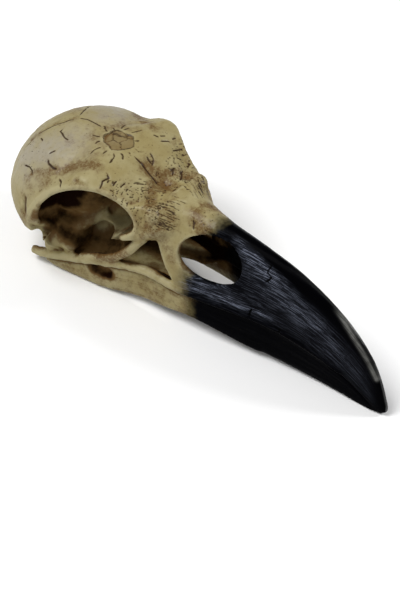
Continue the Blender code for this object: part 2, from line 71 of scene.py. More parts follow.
# %% Driving dimensions and edges
MM = 0.001
SKULL_LENGTH = 211.5          # bill tip to the back of the head
DOME_STATION = 173.2          # middle of the braincase
DOME_HEIGHT = 34.8
DOME_RADII = (37.3, 39.2, 32.6)
DOME_PITCH = -5.0             # degrees, back of the head down
HINGE_STATION = 120.0         # groove where the bill meets the forehead
NOSE_STATION = 100.0          # where the black bill begins
JAW_STATION = 104.0           # where the black front of the jaw ends
ROOF_HEIGHT = 47.0            # between the roof of the nose and its side walls
BAR_DEPTH = 4.0               # from a cheek bar's outer side to the cut inside it
BAR_RISE = 2.6                # from a cheek bar's middle to the cut over it
BAR_START = 106.0             # where the mouth line ends and the cheek bar begins
WALL = 3.2                    # thickness of the bill's walls round the nostrils
VOXEL = 0.55                  # size of the casting's facets

# Culmen, the ridge of the bill from its tip to the forehead: station, height
CULMEN = ((-2.2, 1.5), (-0.8, 6), (1, 12), (4, 20), (8, 27), (13, 32.5), (19, 37.5), (27, 42.6),
          (39, 47.8), (53, 51.8), (67, 53.6), (81, 54.8), (92, 55.2), (105, 56.0), (115, 57.2),
          (122, 58.5))
# Mouth line and then the cheek bar: station, side, height
MOUTH = ((-2.2, 1.2, 0.2), (3, 2.6, 2.6), (22, 5.0, 13.4), (43, 7.9, 20.4), (62, 10.3, 22.2),
         (73, 12.1, 21.6), (94, 15.2, 19.8), (106, 17, 18.4))
BAR = ((105.7, 16.8, 18.6), (111.2, 17.6, 19.0), (115.4, 18.3, 20.4), (120.6, 19.2, 21.2),
       (126, 20.0, 21.0), (132.5, 21.0, 19.7), (142, 22.9, 17.2), (150.6, 24.6, 14.6),
       (162.2, 26.6, 10.7), (169.5, 27.8, 8.4), (176.7, 28.5, 6.0), (183.7, 29.4, 4.4))
# Lower edge of the jaw: station, side, height
JAW_EDGE = ((-1, 1.2, -0.6), (6, 3.0, -0.8), (20, 3.9, -0.6), (35, 5.0, -0.2), (52, 7.6, 0.8),
            (70, 11.4, 2.2), (83, 14.0, 4.0), (98, 16.4, 5.4), (112, 17.8, 4.0), (125, 19.4, 2.8),
            (136, 21.8, 1.4), (148, 24.2, -0.4), (161, 26.2, -0.6), (171, 27.7, -0.4),
            (184, 29.4, 2.0))
# Rim of the eye socket from its lower back corner over the top to the hook in front
RIM = ((175.5, 26.5, 22.5), (177, 30, 26), (178.2, 35, 28.5), (177.8, 38, 33), (176.5, 38.6, 39),
       (173, 36.8, 46.5), (167.5, 34.6, 52.8), (161.5, 32.8, 57.6), (155.5, 31.5, 61.2),
       (149.5, 29.8, 63.0), (143.5, 26.3, 62.0), (138, 23.3, 59.0), (132.5, 21.6, 55.5),
       (128, 21.4, 51.5), (126.4, 21.8, 47.5), (126.8, 22.4, 44.0), (129.4, 23.2, 40.5),
       (134.5, 24.0, 37.0))
# Where the bone in front of the last rows of the rim runs out: station, side, height
LACRIMAL = ((116, 5.0, 57.2), (112, 6.5, 55), (110, 9.5, 51.5), (110, 12.2, 47), (116, 15.4, 42.6),
            (127, 20.4, 38.6))
SOCKET_CENTRE = (150, 39)     # of the eye socket seen from the side: station, height
# Underside of the palate between the halves of the jaw: station, height
PALATE_FLOOR = ((64, 12), (110, 12.2), (130, 11.2), (140, 9.6), (152, 7.6), (164, 5.6), (174, 4.0),
                (182, 3.0), (192, 1.5))
# Space behind the joint of the jaw: station, side of its inner wall, height of its roof
BEHIND = ((172.5, 34.5, 25.5), (174, 33, 26), (178, 28.5, 25), (182.5, 24.5, 23.5), (187, 20.5, 22),
          (194, 14.5, 19.5), (202, 8, 17), (212, 5, 15))
# Roof between the eye sockets: station, half width, height at the edge, crest, depth of valley
BROW = ((168, 22, 52, 67.2, 0.0), (160, 26, 60, 67.6, 0.2), (153, 29.2, 64.4, 67.4, 0.6),
        (147, 27.8, 63.0, 66.6, 1.4), (141, 24.6, 60.0, 65.2, 2.4), (135, 21.8, 55.5, 63.0, 3.6),
        (130, 20.2, 51.0, 61.2, 4.4), (125, 19.0, 47.0, 59.4, 3.2), (119, 17, 42.5, 58, 0.5))
print("Skull", SKULL_LENGTH, "mm long, cast with facets of", VOXEL, "mm")

# %% [markdown]
# ## From measures to points
# Two helpers turn the measures into shapes. One puts a station, side and height into metres.
# The other reads a table at any station along a smooth cubic curve, which keeps the culmen
# and the rims of the sockets free of corners.

# %% Places and smooth tables
def place(station, side, height):
    """Point of the skull's own measures, in metres with the skull centred over the origin."""
    return Vector(((SKULL_LENGTH / 2 - station) * MM, side * MM, height * MM))


def along(table, station):
    """Values of a table at a station, on a smooth curve through its rows."""
    rows = sorted(table)
    if station <= rows[0][0]:
        return rows[0][1:]
    if station >= rows[-1][0]:
        return rows[-1][1:]
    index = max(i for i in range(len(rows) - 1) if rows[i][0] <= station)
    low, high = rows[index], rows[index + 1]
    before = rows[max(index - 1, 0)]
    after = rows[min(index + 2, len(rows) - 1)]
    span = high[0] - low[0]
    t = (station - low[0]) / span
    values = []
    for k in range(1, len(low)):
        slope_low = (high[k] - before[k]) / (high[0] - before[0])
        slope_high = (after[k] - low[k]) / (after[0] - low[0])
        values.append((2 * t**3 - 3 * t**2 + 1) * low[k] + (t**3 - 2 * t**2 + t) * span * slope_low
                      + (3 * t**2 - 2 * t**3) * high[k] + (t**3 - t**2) * span * slope_high)
    return values


def steps(first, last, count):
    """Evenly spaced numbers, both ends included."""
    return [first + (last - first) * i / (count - 1) for i in range(count)]


def edge_line(station):
    """Side and height of the mouth line, and behind it of the cheek bar."""
    return along(MOUTH if station < BAR_START else BAR, station)


print("Crest of the forehead:", [round(v, 1) for v in along(BROW, 150)])

# %% [markdown]
# ## Tools that make a solid
# A bone could be pushed about in sculpt mode, but nobody can read or change that later. Here
# each form is a simple closed solid: an egg for the braincase, a loft through cross-sections
# for the bill and the jaw, and a bent rod for the bars and rims.

# %% Meshes, lofts, balls and rods
def new_object(name, data):
    """Object with a mesh, lamp or camera as its data, placed in the scene."""
    thing = bpy.data.objects.new(name, data)
    bpy.context.scene.collection.objects.link(thing)
    return thing


def mesh_of(bm, name):
    """Turn a bmesh into an object, with its faces looking outward."""
    bmesh.ops.recalc_face_normals(bm, faces=bm.faces)
    mesh = bpy.data.meshes.new(name)
    bm.to_mesh(mesh)
    bm.free()
    return new_object(name, mesh)


def loft(name, rings):
    """Closed skin through rings of equally many points, with a fan over each end."""
    bm = bmesh.new()
    rows = [[bm.verts.new(point) for point in ring] for ring in rings]
    count = len(rows[0])
    for row, following in zip(rows, rows[1:]):
        for i in range(count):
            j = (i + 1) % count
            bm.faces.new((row[i], row[j], following[j], following[i]))
    for row in (rows[0], rows[-1]):
        middle = sum((v.co for v in row), Vector()) / count
        hub = bm.verts.new(middle)
        for i in range(count):
            bm.faces.new((row[i], row[(i + 1) % count], hub))
    return mesh_of(bm, name)


def ball(name, centre, radii, turn=0.0, tilt=0.0):
    """Ellipsoid at a place, with radii along, across and up, turned in plan and then tilted."""
    bm = bmesh.new()
    bmesh.ops.create_uvsphere(bm, u_segments=40, v_segments=24, radius=1.0)
    size = Matrix.Diagonal((radii[0] * MM, radii[1] * MM, radii[2] * MM, 1))
    spin = Matrix.Rotation(math.radians(turn), 4, "Z") @ Matrix.Rotation(math.radians(tilt), 4, "Y")
    bmesh.ops.transform(bm, matrix=Matrix.Translation(place(*centre)) @ spin @ size, verts=bm.verts)
    return mesh_of(bm, name)


def rod(name, points, sign=1):
    """Round bar along (station, side, height, radius) points, mirrored by a sign of -1."""
    curve = bpy.data.curves.new(name, "CURVE")
    curve.dimensions = "3D"
    curve.bevel_depth = MM
    curve.bevel_resolution = 3
    curve.resolution_u = 6
    curve.use_fill_caps = True
    spline = curve.splines.new("NURBS")
    spline.points.add(len(points) - 1)
    for knot, (station, side, height, radius) in zip(spline.points, points):
        knot.co = (*place(station, sign * side, height), 1)
        knot.radius = radius
    spline.use_endpoint_u = True
    spline.order_u = 4
    guide = new_object(name, curve)
    depsgraph = bpy.context.evaluated_depsgraph_get()
    mesh = bpy.data.meshes.new_from_object(guide.evaluated_get(depsgraph))
    bpy.data.objects.remove(guide)
    bm = bmesh.new()
    bm.from_mesh(mesh)
    bmesh.ops.remove_doubles(bm, verts=bm.verts, dist=0.01 * MM)
    return mesh_of(bm, name)


def outline(half_width, half_height, power, count=28):
    """Superellipse as (across, up) pairs."""
    pairs = []
    for i in range(count):
        angle = 2 * math.pi * i / count
        c, s = math.cos(angle), math.sin(angle)
        pairs.append((half_width * math.copysign(abs(c) ** (2 / power), c),
                      half_height * math.copysign(abs(s) ** (2 / power), s)))
    return pairs


print("Points of a round outline:", len(outline(1.0, 1.0, 2.0)))

# %% [markdown]
# ## The solid forms
# The braincase is one egg. The brow is a roof with a shallow valley, the bill an arch that
# grows squarer towards the forehead, and the lower jaw a trough that forks into two walls.
# Everything overlaps freely, because the casting below melts it together.

# %% Braincase, brow and bill
def dome():
    """The egg of the braincase."""
    return ball("dome", (DOME_STATION, 0, DOME_HEIGHT), DOME_RADII, tilt=DOME_PITCH)


def brow():
    """Roof between the eye sockets, a shallow valley between two swellings."""
    valley_width, roundness, thickness = 7.0, 2.4, 10
    rings = []
    for station in steps(BROW[-1][0], BROW[0][0], 18):
        half, edge, crest, valley = along(BROW, station)
        ring = []
        for side in steps(-half, half, 17):
            share = min(abs(side) / half, 1)
            rise = edge + (crest - edge) * (1 - share**roundness)
            dip = valley * math.exp(-(side / valley_width) ** 2)
            ring.append(place(station, side, rise - dip))
        for i in range(11):
            side = half * 0.9 - 1.8 * half * i / 10
            ring.append(place(station, side, edge - thickness + 4 * (abs(side) / half) ** 3))
        rings.append(ring)
    return loft("brow", rings)


def bill_section(station):
    """Half width, mouth height, culmen height and squareness of the upper bill."""
    top = along(CULMEN, station)[0]
    side, mouth = along(MOUTH, min(station, BAR_START))
    mouth += max(station - BAR_START, 0) * 1.2
    square = 1.78 + 0.5 * max(min((station - 88) / 28, 1), 0)
    return side, mouth, top, square


def upper_bill():
    """Arch of the bill from the tip to the forehead, nearly flat underneath."""
    flatness = 0.06
    rings = []
    for station in (-1.3, -0.8, 0.2, 1.5, 3, 5, 8, 12, 16, *steps(21, 122, 26)):
        side, mouth, top, square = bill_section(station)
        rings.append([place(station, across, mouth + (up if up >= 0 else up * flatness))
                      for across, up in outline(side, top - mouth, square, 40)])
    return loft("bill", rings)


print("Bill at station 60, half width, mouth, culmen and squareness:",
      [round(v, 1) for v in bill_section(60)])

# %% Lower jaw
def jaw_front():
    """Front of the lower jaw, where its halves are one: a trough seen from below."""
    rings = []
    for station in (0.5, 2, 4, 7, 12, 18, *steps(25, 72, 11)):
        side, mouth = along(MOUTH, station)
        low_side, low = along(JAW_EDGE, station)
        ring = []
        for across, up in outline(1.0, 1.0, 7.0, 32):
            share = (up + 1) / 2
            half = low_side + (side - 0.6 - low_side) * share**0.7
            ring.append(place(station, half * across, low + (mouth + 1.0 - low) * share))
        rings.append(ring)
    return loft("chin", rings)


def jaw_wall(station):
    """Thickness of the lower edge of each half of the jaw."""
    return 2.4 + 2.2 * min(max((station - 114) / 20, 0), 1)


def jaw_ramus(sign):
    """Back half of the lower jaw: a wall that leans outward and grows thicker upward."""
    top_wall = 4.6
    rings = []
    for station in (*steps(64, 176, 22), 181, 185):
        side, mouth = edge_line(station)
        low_side, low = along(JAW_EDGE, station)
        wall = jaw_wall(station)
        ring = []
        for across, up in outline(0.5, 1.0, 4.0, 20):
            share = (up + 1) / 2
            thick = wall + (top_wall - wall) * share
            outer = low_side + (side - 0.4 - low_side) * share
            ring.append(place(station, sign * (outer + (across - 0.5) * thick),
                              low + (mouth + 0.5 - low) * share))
        rings.append(ring)
    return loft("ramus", rings)


print("Lower edge of the jaw:", jaw_wall(80), "mm thick in front,", jaw_wall(150), "behind")

# %% Cheek bars, rims and the bone in front of the eye
def cheek_bar(sign):
    """Bar from the joint of the jaw to the bill, running on as the bill's cutting edge."""
    lip = [(s, y - 0.4, z, 0.9 + s / 100) for s, y, z in MOUTH[2:-1]]
    points = [(s, y - 1.0, z, 2.3) for s, y, z in BAR[1:]]
    return rod("bar", [*lip, *points, (186.5, 28.8, 4.2, 2.0)], sign)


def rim(sign):
    """Rim of the eye socket, lowered a little over the eye so that the brow stays smooth."""
    points = []
    for i, (station, side, height) in enumerate(RIM):
        low = height - 1.3 * max(0, (height - 45) / 18)
        points.append((station, side - 1.2, low, 1.9 if i < 9 else 1.6))
    return rod("rim", points, sign)


def lacrimal(sign):
    """Broad bone in front of the eye socket, and its hook."""
    rings = []
    for inner, outer in zip(LACRIMAL, RIM[-len(LACRIMAL):]):
        middle = [0.4 * a + 0.6 * b for a, b in zip(inner, outer)]
        rings.append([
            place(outer[0] - 0.3, sign * (outer[1] - 0.4), outer[2]),
            place(middle[0], sign * (middle[1] + 2.0), middle[2]),
            place(inner[0], sign * inner[1], inner[2]),
            place(inner[0] - 2, sign * (inner[1] - 3.5), inner[2] + 1),
            place(outer[0] - 1, sign * (outer[1] - 4.0), outer[2])])
    return loft("lacrimal", rings)


def lacrimal_corner(sign):
    """Swelling where the bone in front of the eye stands out over the root of the bill."""
    return ball("corner", (122.6, sign * 15.4, 52.0), (5.0, 3.9, 4.6), tilt=12)


def eave(sign):
    """Thickening of the brow's edge where it is thinnest, over the front of the socket."""
    return rod("eave", [(143, 22.6, 60.2, 1.6), (138, 19.6, 57.6, 1.8), (133, 17.8, 54.2, 1.9),
                        (127.5, 17.2, 50.5, 1.7)], sign)


def strut(sign):
    """Bar from the bone in front of the eye down to the cheek bar."""
    return rod("strut", [(123.5, 18.0, 42, 2.6), (126.5, 19.6, 37.5, 2.6), (130.5, 20.6, 31, 2.3),
                         (136, 21.6, 24.6, 2.2), (144, 22.6, 19.4, 2.2), (152, 23.6, 16.2, 2.0),
                         (159, 24.8, 13.4, 1.8)], sign)


print("Points along a cheek bar:", len(BAR), "and along a rim:", len(RIM))

# %% Base of the skull and what the eye sockets show
def skull_base():
    """Floor under the braincase and the palate: station, half width, bottom, top."""
    rows = ((108, 15.5, 14.0, 18.5), (116, 16.5, 14.0, 19), (122, 18, 13.5, 19.0),
            (130, 18.5, 12.5, 18.5), (140, 21, 11, 20), (152, 23, 9, 25), (164, 25, 7, 30),
            (174, 26.5, 5.5, 30), (179, 26.0, 5, 24), (182, 24.5, 6, 20))
    rings = []
    for station in steps(rows[0][0], rows[-1][0], 16):
        half, low, top = along(rows, station)
        rings.append([place(station, across, (low + top) / 2 + up)
                      for across, up in outline(half, (top - low) / 2, 3.4)])
    return loft("base", rings)


def inner_skull():
    """Knob under the hole for the neck, and what shows inside the eye sockets: the plate between
    them, the front of the braincase and the ridges from it to the joints of the jaw."""
    pieces = [ball("condyle", (202.5, 0, 15.5), (4.2, 4.2, 3.0)),
              ball("septum", (145, 0, 35), (22, 3.0, 23)),
              ball("inner", (178, 0, 38), (22, 22, 22), tilt=-8)]
    ridge_line = [(177, 25.5, 9, 3.4), (175, 25, 15, 4.0), (171, 21.5, 21, 4.6), (165, 14, 25, 4.2),
                  (158, 6, 29, 3.0)]
    for sign in (-1, 1):
        pieces.append(rod("ridge", ridge_line, sign))
        pieces.append(ball("quadrate", (173, sign * 17, 17), (10, 10.5, 11), turn=sign * 20))
        pieces.append(ball("knuckle", (168, sign * 22.5, 14.5), (5.0, 4.2, 3.4)))
    return pieces


def head_side(station, height):
    """Half width of the head at a station and height, on the dome or on the brow."""
    rest = 1 - ((station - DOME_STATION) / DOME_RADII[0])**2
    rest -= ((height - DOME_HEIGHT) / DOME_RADII[2])**2
    dome_side = DOME_RADII[1] * math.sqrt(max(rest, 0))
    half, edge, crest = along(BROW, station)[:3]
    share = min(max((height - edge) / (crest - edge), 0), 1)
    return max(dome_side, half * (1 - share)**0.42)


def visor(sign):
    """Flange that carries the rim of the eye socket out from the head."""
    rings = []
    for index in range(4, 9):
        station, side, height = RIM[index]
        out = Vector((station - SOCKET_CENTRE[0], height - SOCKET_CENTRE[1])).normalized()
        reach = 4 + 2.5 * min(index - 4, 2) if index < 8 else 6
        far = (station + out.x * reach, height + out.y * reach)
        mid = (station + out.x * reach * 0.45, height + out.y * reach * 0.45)
        far = (far[0], min(far[1], 64))
        head = min(head_side(*far), side)
        rings.append([
            place(station + out.x, sign * (side - 0.6), height + out.y),
            place(mid[0], sign * (side * 0.5 + head * 0.5), mid[1]),
            place(far[0], sign * head, far[1]),
            place(far[0], sign * max(head - 8, 0), far[1]),
            place(station + out.x * 0.5, sign * (side - 9), height + out.y * 0.5)])
    return loft("visor", rings)


print("Half width of the head over an eye:", round(head_side(160, 50), 1), "mm")

# %% [markdown]
# ## The hollows
# On the real ornament the mould leaves the sockets, nostrils and the space between the jaw
# halves open. Each hollow is a solid too, and is taken away from the casting at the end, so
# its edges come out crisp where bone is thin and soft where it is thick.

# %% Eye sockets, cheeks and windows
def socket(sign):
    """Hollow of the eye socket: the rim's own outline, narrowing towards the middle plane."""
    edge = [*RIM, (143, 25, 31), (152, 26, 27), (163, 27, 24.5)]
    rings = []
    for inward, grow in ((-14, 1.04), (-1, 1.0), (5, 1.0), (10, 0.97), (15, 0.93), (21, 0.86),
                         (27, 0.74), (30, 0.5)):
        ring = []
        for station, side, height in edge:
            deep = side - inward if inward < 6 else side - 5 - (side - 8) * (inward - 5) / 26
            ring.append(place(SOCKET_CENTRE[0] + (station - SOCKET_CENTRE[0]) * grow, sign * deep,
                              SOCKET_CENTRE[1] + (height - SOCKET_CENTRE[1]) * grow))
        rings.append(ring)
    return loft("socket", rings)


def cheek(sign):
    """Hollow under the eye, over the palate and inside the cheek bar."""
    return ball("cheek", (156, sign * 26, 20.5), (19.5, 19, 10.5), turn=sign * -4, tilt=-14)


def window(sign):
    """Three-sided opening in front of the strut, a little smaller inside."""
    middle = Vector((121.5, 31.5))
    corners = [Vector(c) for c in ((118.5, 41.5), (112, 24.5), (121, 26.5), (132, 27.0), (127, 35))]
    rings = []
    for side in (32, 20, 14, 8):
        shrink = 1.0 if side > 15 else 0.85
        ring = []
        for here, following in zip(corners, corners[1:] + corners[:1]):
            for k in range(5):
                point = middle + (here.lerp(following, k / 5) - middle) * shrink
                ring.append(place(point.x, sign * side, point.y))
        rings.append(ring)
    return loft("window", rings)


print("Eye sockets run from station", min(RIM)[0], "to", max(RIM)[0])

# %% Nostrils and the spaces inside the bill and jaw
def nostril():
    """Oval opening through both sides of the bill."""
    oval = outline(16, 10.4, 2.2, 36)
    return loft("nostril", [[place(91.8 - forward, side, 40.5 + up + forward * 0.06)
                             for forward, up in oval] for side in steps(-30, 30, 5)])


def nasal_hollow():
    """Inside of the bill round the nostrils, open below between the halves of the jaw."""
    throat, depth = 7.5, 26      # half width behind the nostrils, and how far down it cuts
    rings = []
    for station in steps(66, 123, 16):
        close = min((station - 62) / 10, 1) ** 0.5 * min((126 - station) / 6, 1) ** 0.5
        side, mouth, top, square = bill_section(station)
        half = max((side - WALL) * close, 1.0)
        rise = (top - mouth - WALL - 0.8) * close
        narrow = min(1, throat / half) if station > 110 else 1
        rings.append([place(station, across * (narrow if up < 0 else 1),
                            mouth + (rise * up if up > 0 else depth * up))
                      for across, up in outline(half, 1.0, square, 32)])
    return loft("nasal", rings)


def jaw_hollow():
    """Space between the halves of the lower jaw, under the palate."""
    rings = []
    for station in steps(60, 196, 20):
        low_side = along(JAW_EDGE, station)[0]
        half = max(low_side - 0.4 - jaw_wall(station), 1.0) * min((station - 58) / 12, 1) ** 0.5
        top = min(14.0, 13.5 - (station - 130) * 0.15) if station > 130 else 14.0
        rings.append([place(station, across, top * up if up > 0 else 8 * up)
                      for across, up in outline(half, 1.0, 5.0, 24)])
    return loft("between", rings)


def foramen():
    """Blind round hole low on the back of the head, where the neck began."""
    return ball("foramen", (207, 0, 21), (8, 6.5, 5.5), tilt=-40)


def jaw_window(sign):
    """Long recess high on the outer side of each half of the jaw."""
    return ball("jaw_window", (146.5, sign * 26, 10.6), (8.5, 5.6, 3.2), tilt=-14)


def base_cut():
    """What is cut away under the back of the braincase and behind the joints of the jaw."""
    pieces = [ball("under", (208, 0, -6), (27, 60, 24))]
    for sign in (-1, 1):
        rings = []
        for station, inner, top in BEHIND:
            middle, half, rise = (inner + 66) / 2, (66 - inner) / 2, (top + 16) / 2
            rings.append([place(station, sign * (middle + across), top - rise + up)
                          for across, up in outline(half, rise, 5)])
        pieces.append(loft("behind", rings))
    return pieces


print("Walls left round the nostrils:", WALL, "mm thick")

# %% [markdown]
# ## Casting
# A voxel remesh turns the heap of overlapping solids into one closed skin, like resin in a
# mould, and a few rounds of smoothing round its creases. The Manifold solver makes the cut
# quick on a skin this dense. The slender rods join after the cut, so they stay whole.

# %% Casting tools
def joined(name, pieces):
    """One object made of all the pieces, which are deleted."""
    bm = bmesh.new()
    for piece in pieces:
        bm.from_mesh(piece.data)
        bpy.data.objects.remove(piece)
    mesh = bpy.data.meshes.new(name)
    bm.to_mesh(mesh)
    bm.free()
    return new_object(name, mesh)


def modify(thing, kind, **settings):
    """Change a mesh by one modifier, and keep only what the modifier makes of it."""
    change = thing.modifiers.new("change", kind)
    for name, value in settings.items():
        setattr(change, name, value)
    depsgraph = bpy.context.evaluated_depsgraph_get()
    mesh = bpy.data.meshes.new_from_object(thing.evaluated_get(depsgraph))
    thing.modifiers.clear()
    thing.data = mesh


def remesh(thing, voxel):
    """Cast a heap of solids into one closed skin of even facets."""
    modify(thing, "REMESH", mode="VOXEL", voxel_size=voxel * MM)


def smooth(thing, times):
    """Round off creases, in so many rounds."""
    modify(thing, "SMOOTH", factor=0.5, iterations=times)


def boolean(thing, operation, other, material_mode="INDEX"):
    """Take another solid away (DIFFERENCE), or keep only what both share (INTERSECT)."""
    modify(thing, "BOOLEAN", operation=operation, solver="MANIFOLD",
           material_mode=material_mode, object=other)


print("Casting tools ready for facets of", VOXEL, "mm")

# %% Cast the whole skull
def cast_skull():
    """The whole skull as one closed mesh, like the real casting."""
    solids = [dome(), brow(), upper_bill(), jaw_front(), skull_base()]
    rods = inner_skull()
    hollows = [nostril(), nasal_hollow(), jaw_hollow(), foramen(), *base_cut()]
    for sign in (-1, 1):
        solids += [visor(sign), jaw_ramus(sign), lacrimal(sign), lacrimal_corner(sign)]
        rods += [cheek_bar(sign), rim(sign), eave(sign), strut(sign)]
        hollows += [socket(sign), cheek(sign), window(sign), jaw_window(sign)]
    body = joined("cast", solids)
    remesh(body, VOXEL)
    smooth(body, 11)
    cutter = joined("hollows", hollows)
    remesh(cutter, VOXEL)
    smooth(cutter, 8)
    boolean(body, "DIFFERENCE", cutter)
    bpy.data.objects.remove(cutter)
    body = joined("cast", [body, *rods])
    remesh(body, VOXEL)
    smooth(body, 12)
    return body


skin = cast_skull()
print("Casting:", len(skin.data.vertices), "corners")

# %% [markdown]
# ## Reading the skin into arrays
# Carving by moving corners one after another would take minutes on a skin this fine. Numpy
# moves all of them at once, so the skin's places and the way it faces are read into arrays
# in the skull's own measures. The noise is a small lattice of fixed random numbers, blended
# smoothly, and gives the same swells in every run.

# %% Skin arrays and noise
def read_rows(collection, field):
    """A field of three numbers for every corner, as an array with three columns."""
    flat = np.empty(3 * len(collection))
    collection.foreach_get(field, flat)
    return flat.reshape(-1, 3)


def skin_arrays(thing):
    """Places as (station, side, height), and the outward direction in the same axes."""
    spots = read_rows(thing.data.vertices, "co") / MM
    spots[:, 0] = SKULL_LENGTH / 2 - spots[:, 0]
    facing = read_rows(thing.data.vertex_normals, "vector")
    facing[:, 0] *= -1
    return spots, facing


LATTICE_PRIMES = np.array((73856093, 19349663, 83492791))
SEED_PRIME = 40503
LOW_BITS = 0xFFFFFFFF
MIXING = ((1274126177, 11), (668265263, 9))     # multiply by, then drop so many bits


def noise(spots, size, seed=0):
    """Smooth noise from -1 to 1 with swells about size millimetres wide."""
    cell = spots / size + 7.3 * seed
    low = np.floor(cell).astype(np.int64)
    blend = cell - low
    blend = blend * blend * (3 - 2 * blend)
    total = np.zeros(len(spots))
    for corner in ((i, j, k) for i in (0, 1) for j in (0, 1) for k in (0, 1)):
        key = np.bitwise_xor.reduce((low + corner) * LATTICE_PRIMES, axis=1) ^ seed * SEED_PRIME
        for prime, drop in MIXING:
            key = ((key & LOW_BITS) * prime) >> drop
        value = (key & 0xFFFFF) / 0x7FFFF - 1
        total += value * np.prod(np.where(corner, blend, 1 - blend), axis=1)
    return total


def ramp(values, low, high):
    """0 below low, 1 above high, smooth between."""
    share = np.clip((values - low) / (high - low), 0, 1)
    return share * share * (3 - 2 * share)


spots, facing = skin_arrays(skin)
print("Skin:", spots.min(axis=0).round(1), "to", spots.max(axis=0).round(1))

# %% [markdown]
# ## Engraving tool
# The cracks are cut lines. Each is a few places on the skin, and the tool measures how far
# every corner is from the bent line through them. It counts hardly any of the distance
# straight down, so a line follows the dome. The line wobbles a little, as if drawn by hand,
# and thins to its ends. The first tool in the cell lays several such marks over each other.

# %% Lines and dots on the skin
WOBBLE_SIZE = 2.2             # millimetres from one bend of a hand-drawn line to the next
DEEPEST = 3.5                 # a line marks no skin further under or over it than this


def strongest(*shares):
    """Largest of several shares at every corner."""
    return np.maximum.reduce(shares)


def line_share(points, width, wobble=0.35, seed=1):
    """1 on a line over the skin, falling to 0 beside it."""
    line = np.array(points, float)
    reach = width * 3 + 3
    close = np.all((spots > line.min(axis=0) - reach) & (spots < line.max(axis=0) + reach), axis=1)
    index = np.nonzero(close)[0]
    share = np.zeros(len(spots))
    if not len(index):
        return share
    here, out = spots[index], facing[index]
    here = here + wobble * np.column_stack([noise(here, WOBBLE_SIZE, seed + k) for k in range(3)])
    length = np.linalg.norm(np.diff(line, axis=0), axis=1)
    start = np.concatenate(([0], np.cumsum(length)))
    best = np.zeros(len(index))
    for k, (a, b) in enumerate(zip(line, line[1:])):
        t = np.clip((here - a) @ (b - a) / length[k] ** 2, 0, 1)
        gap = here - a - t[:, None] * (b - a)
        deep = np.sum(gap * out, axis=1)
        gap -= 0.9 * deep[:, None] * out
        along_line = (start[k] + t * length[k]) / start[-1]
        taper = np.clip(np.minimum(along_line, 1 - along_line) * 5 + 0.35, 0, 1)
        near = np.exp(-np.sum(gap**2, axis=1) / (width * taper) ** 2)
        best = strongest(best, near * taper * (np.abs(deep) < DEEPEST))
    share[index] = best
    return share


def dots_share(region, count, sizes, seed):
    """Round pits scattered over a part of the skin, given as an array of yes and no."""
    rng = np.random.default_rng(seed)
    share = np.zeros(len(spots))
    chosen = rng.choice(np.nonzero(region)[0], count, replace=False)
    for centre, size in zip(spots[chosen], rng.uniform(*sizes, count)):
        close = np.all(np.abs(spots - centre) < 3 * size, axis=1)
        far = np.sum((spots[close] - centre) ** 2, axis=1)
        share[close] = strongest(share[close], np.exp(-far / size**2))
    return share


def dashes_share(region, count, way, lengths, width, seed):
    """Short cuts scattered over a part of the skin, all running roughly one way."""
    rng = np.random.default_rng(seed)
    share = np.zeros(len(spots))
    for centre in spots[rng.choice(np.nonzero(region)[0], count, replace=False)]:
        run = np.array(way, float)
        if centre[1] > 0:
            run[1] *= -1
        run = run / np.linalg.norm(run) + rng.normal(0, 0.07, 3)
        run *= rng.uniform(*lengths) / 2
        share = strongest(share, line_share([centre - run, centre, centre + run], width, 0.12))
    return share


print("Facets facing up:", int((facing[:, 2] > 0.7).sum()))

# %% [markdown]
# ## Cracks and cuts in the bone
# The sculptor cut a three-armed suture on the crown, single cracks round the eye, short
# nicks on the brow and rows of parallel scratches where the bill meets the forehead. The
# middle of the forehead has a shallow, crazed patch with hairline cracks running out of it.
# Each line is given by the stations, sides and heights it passes.

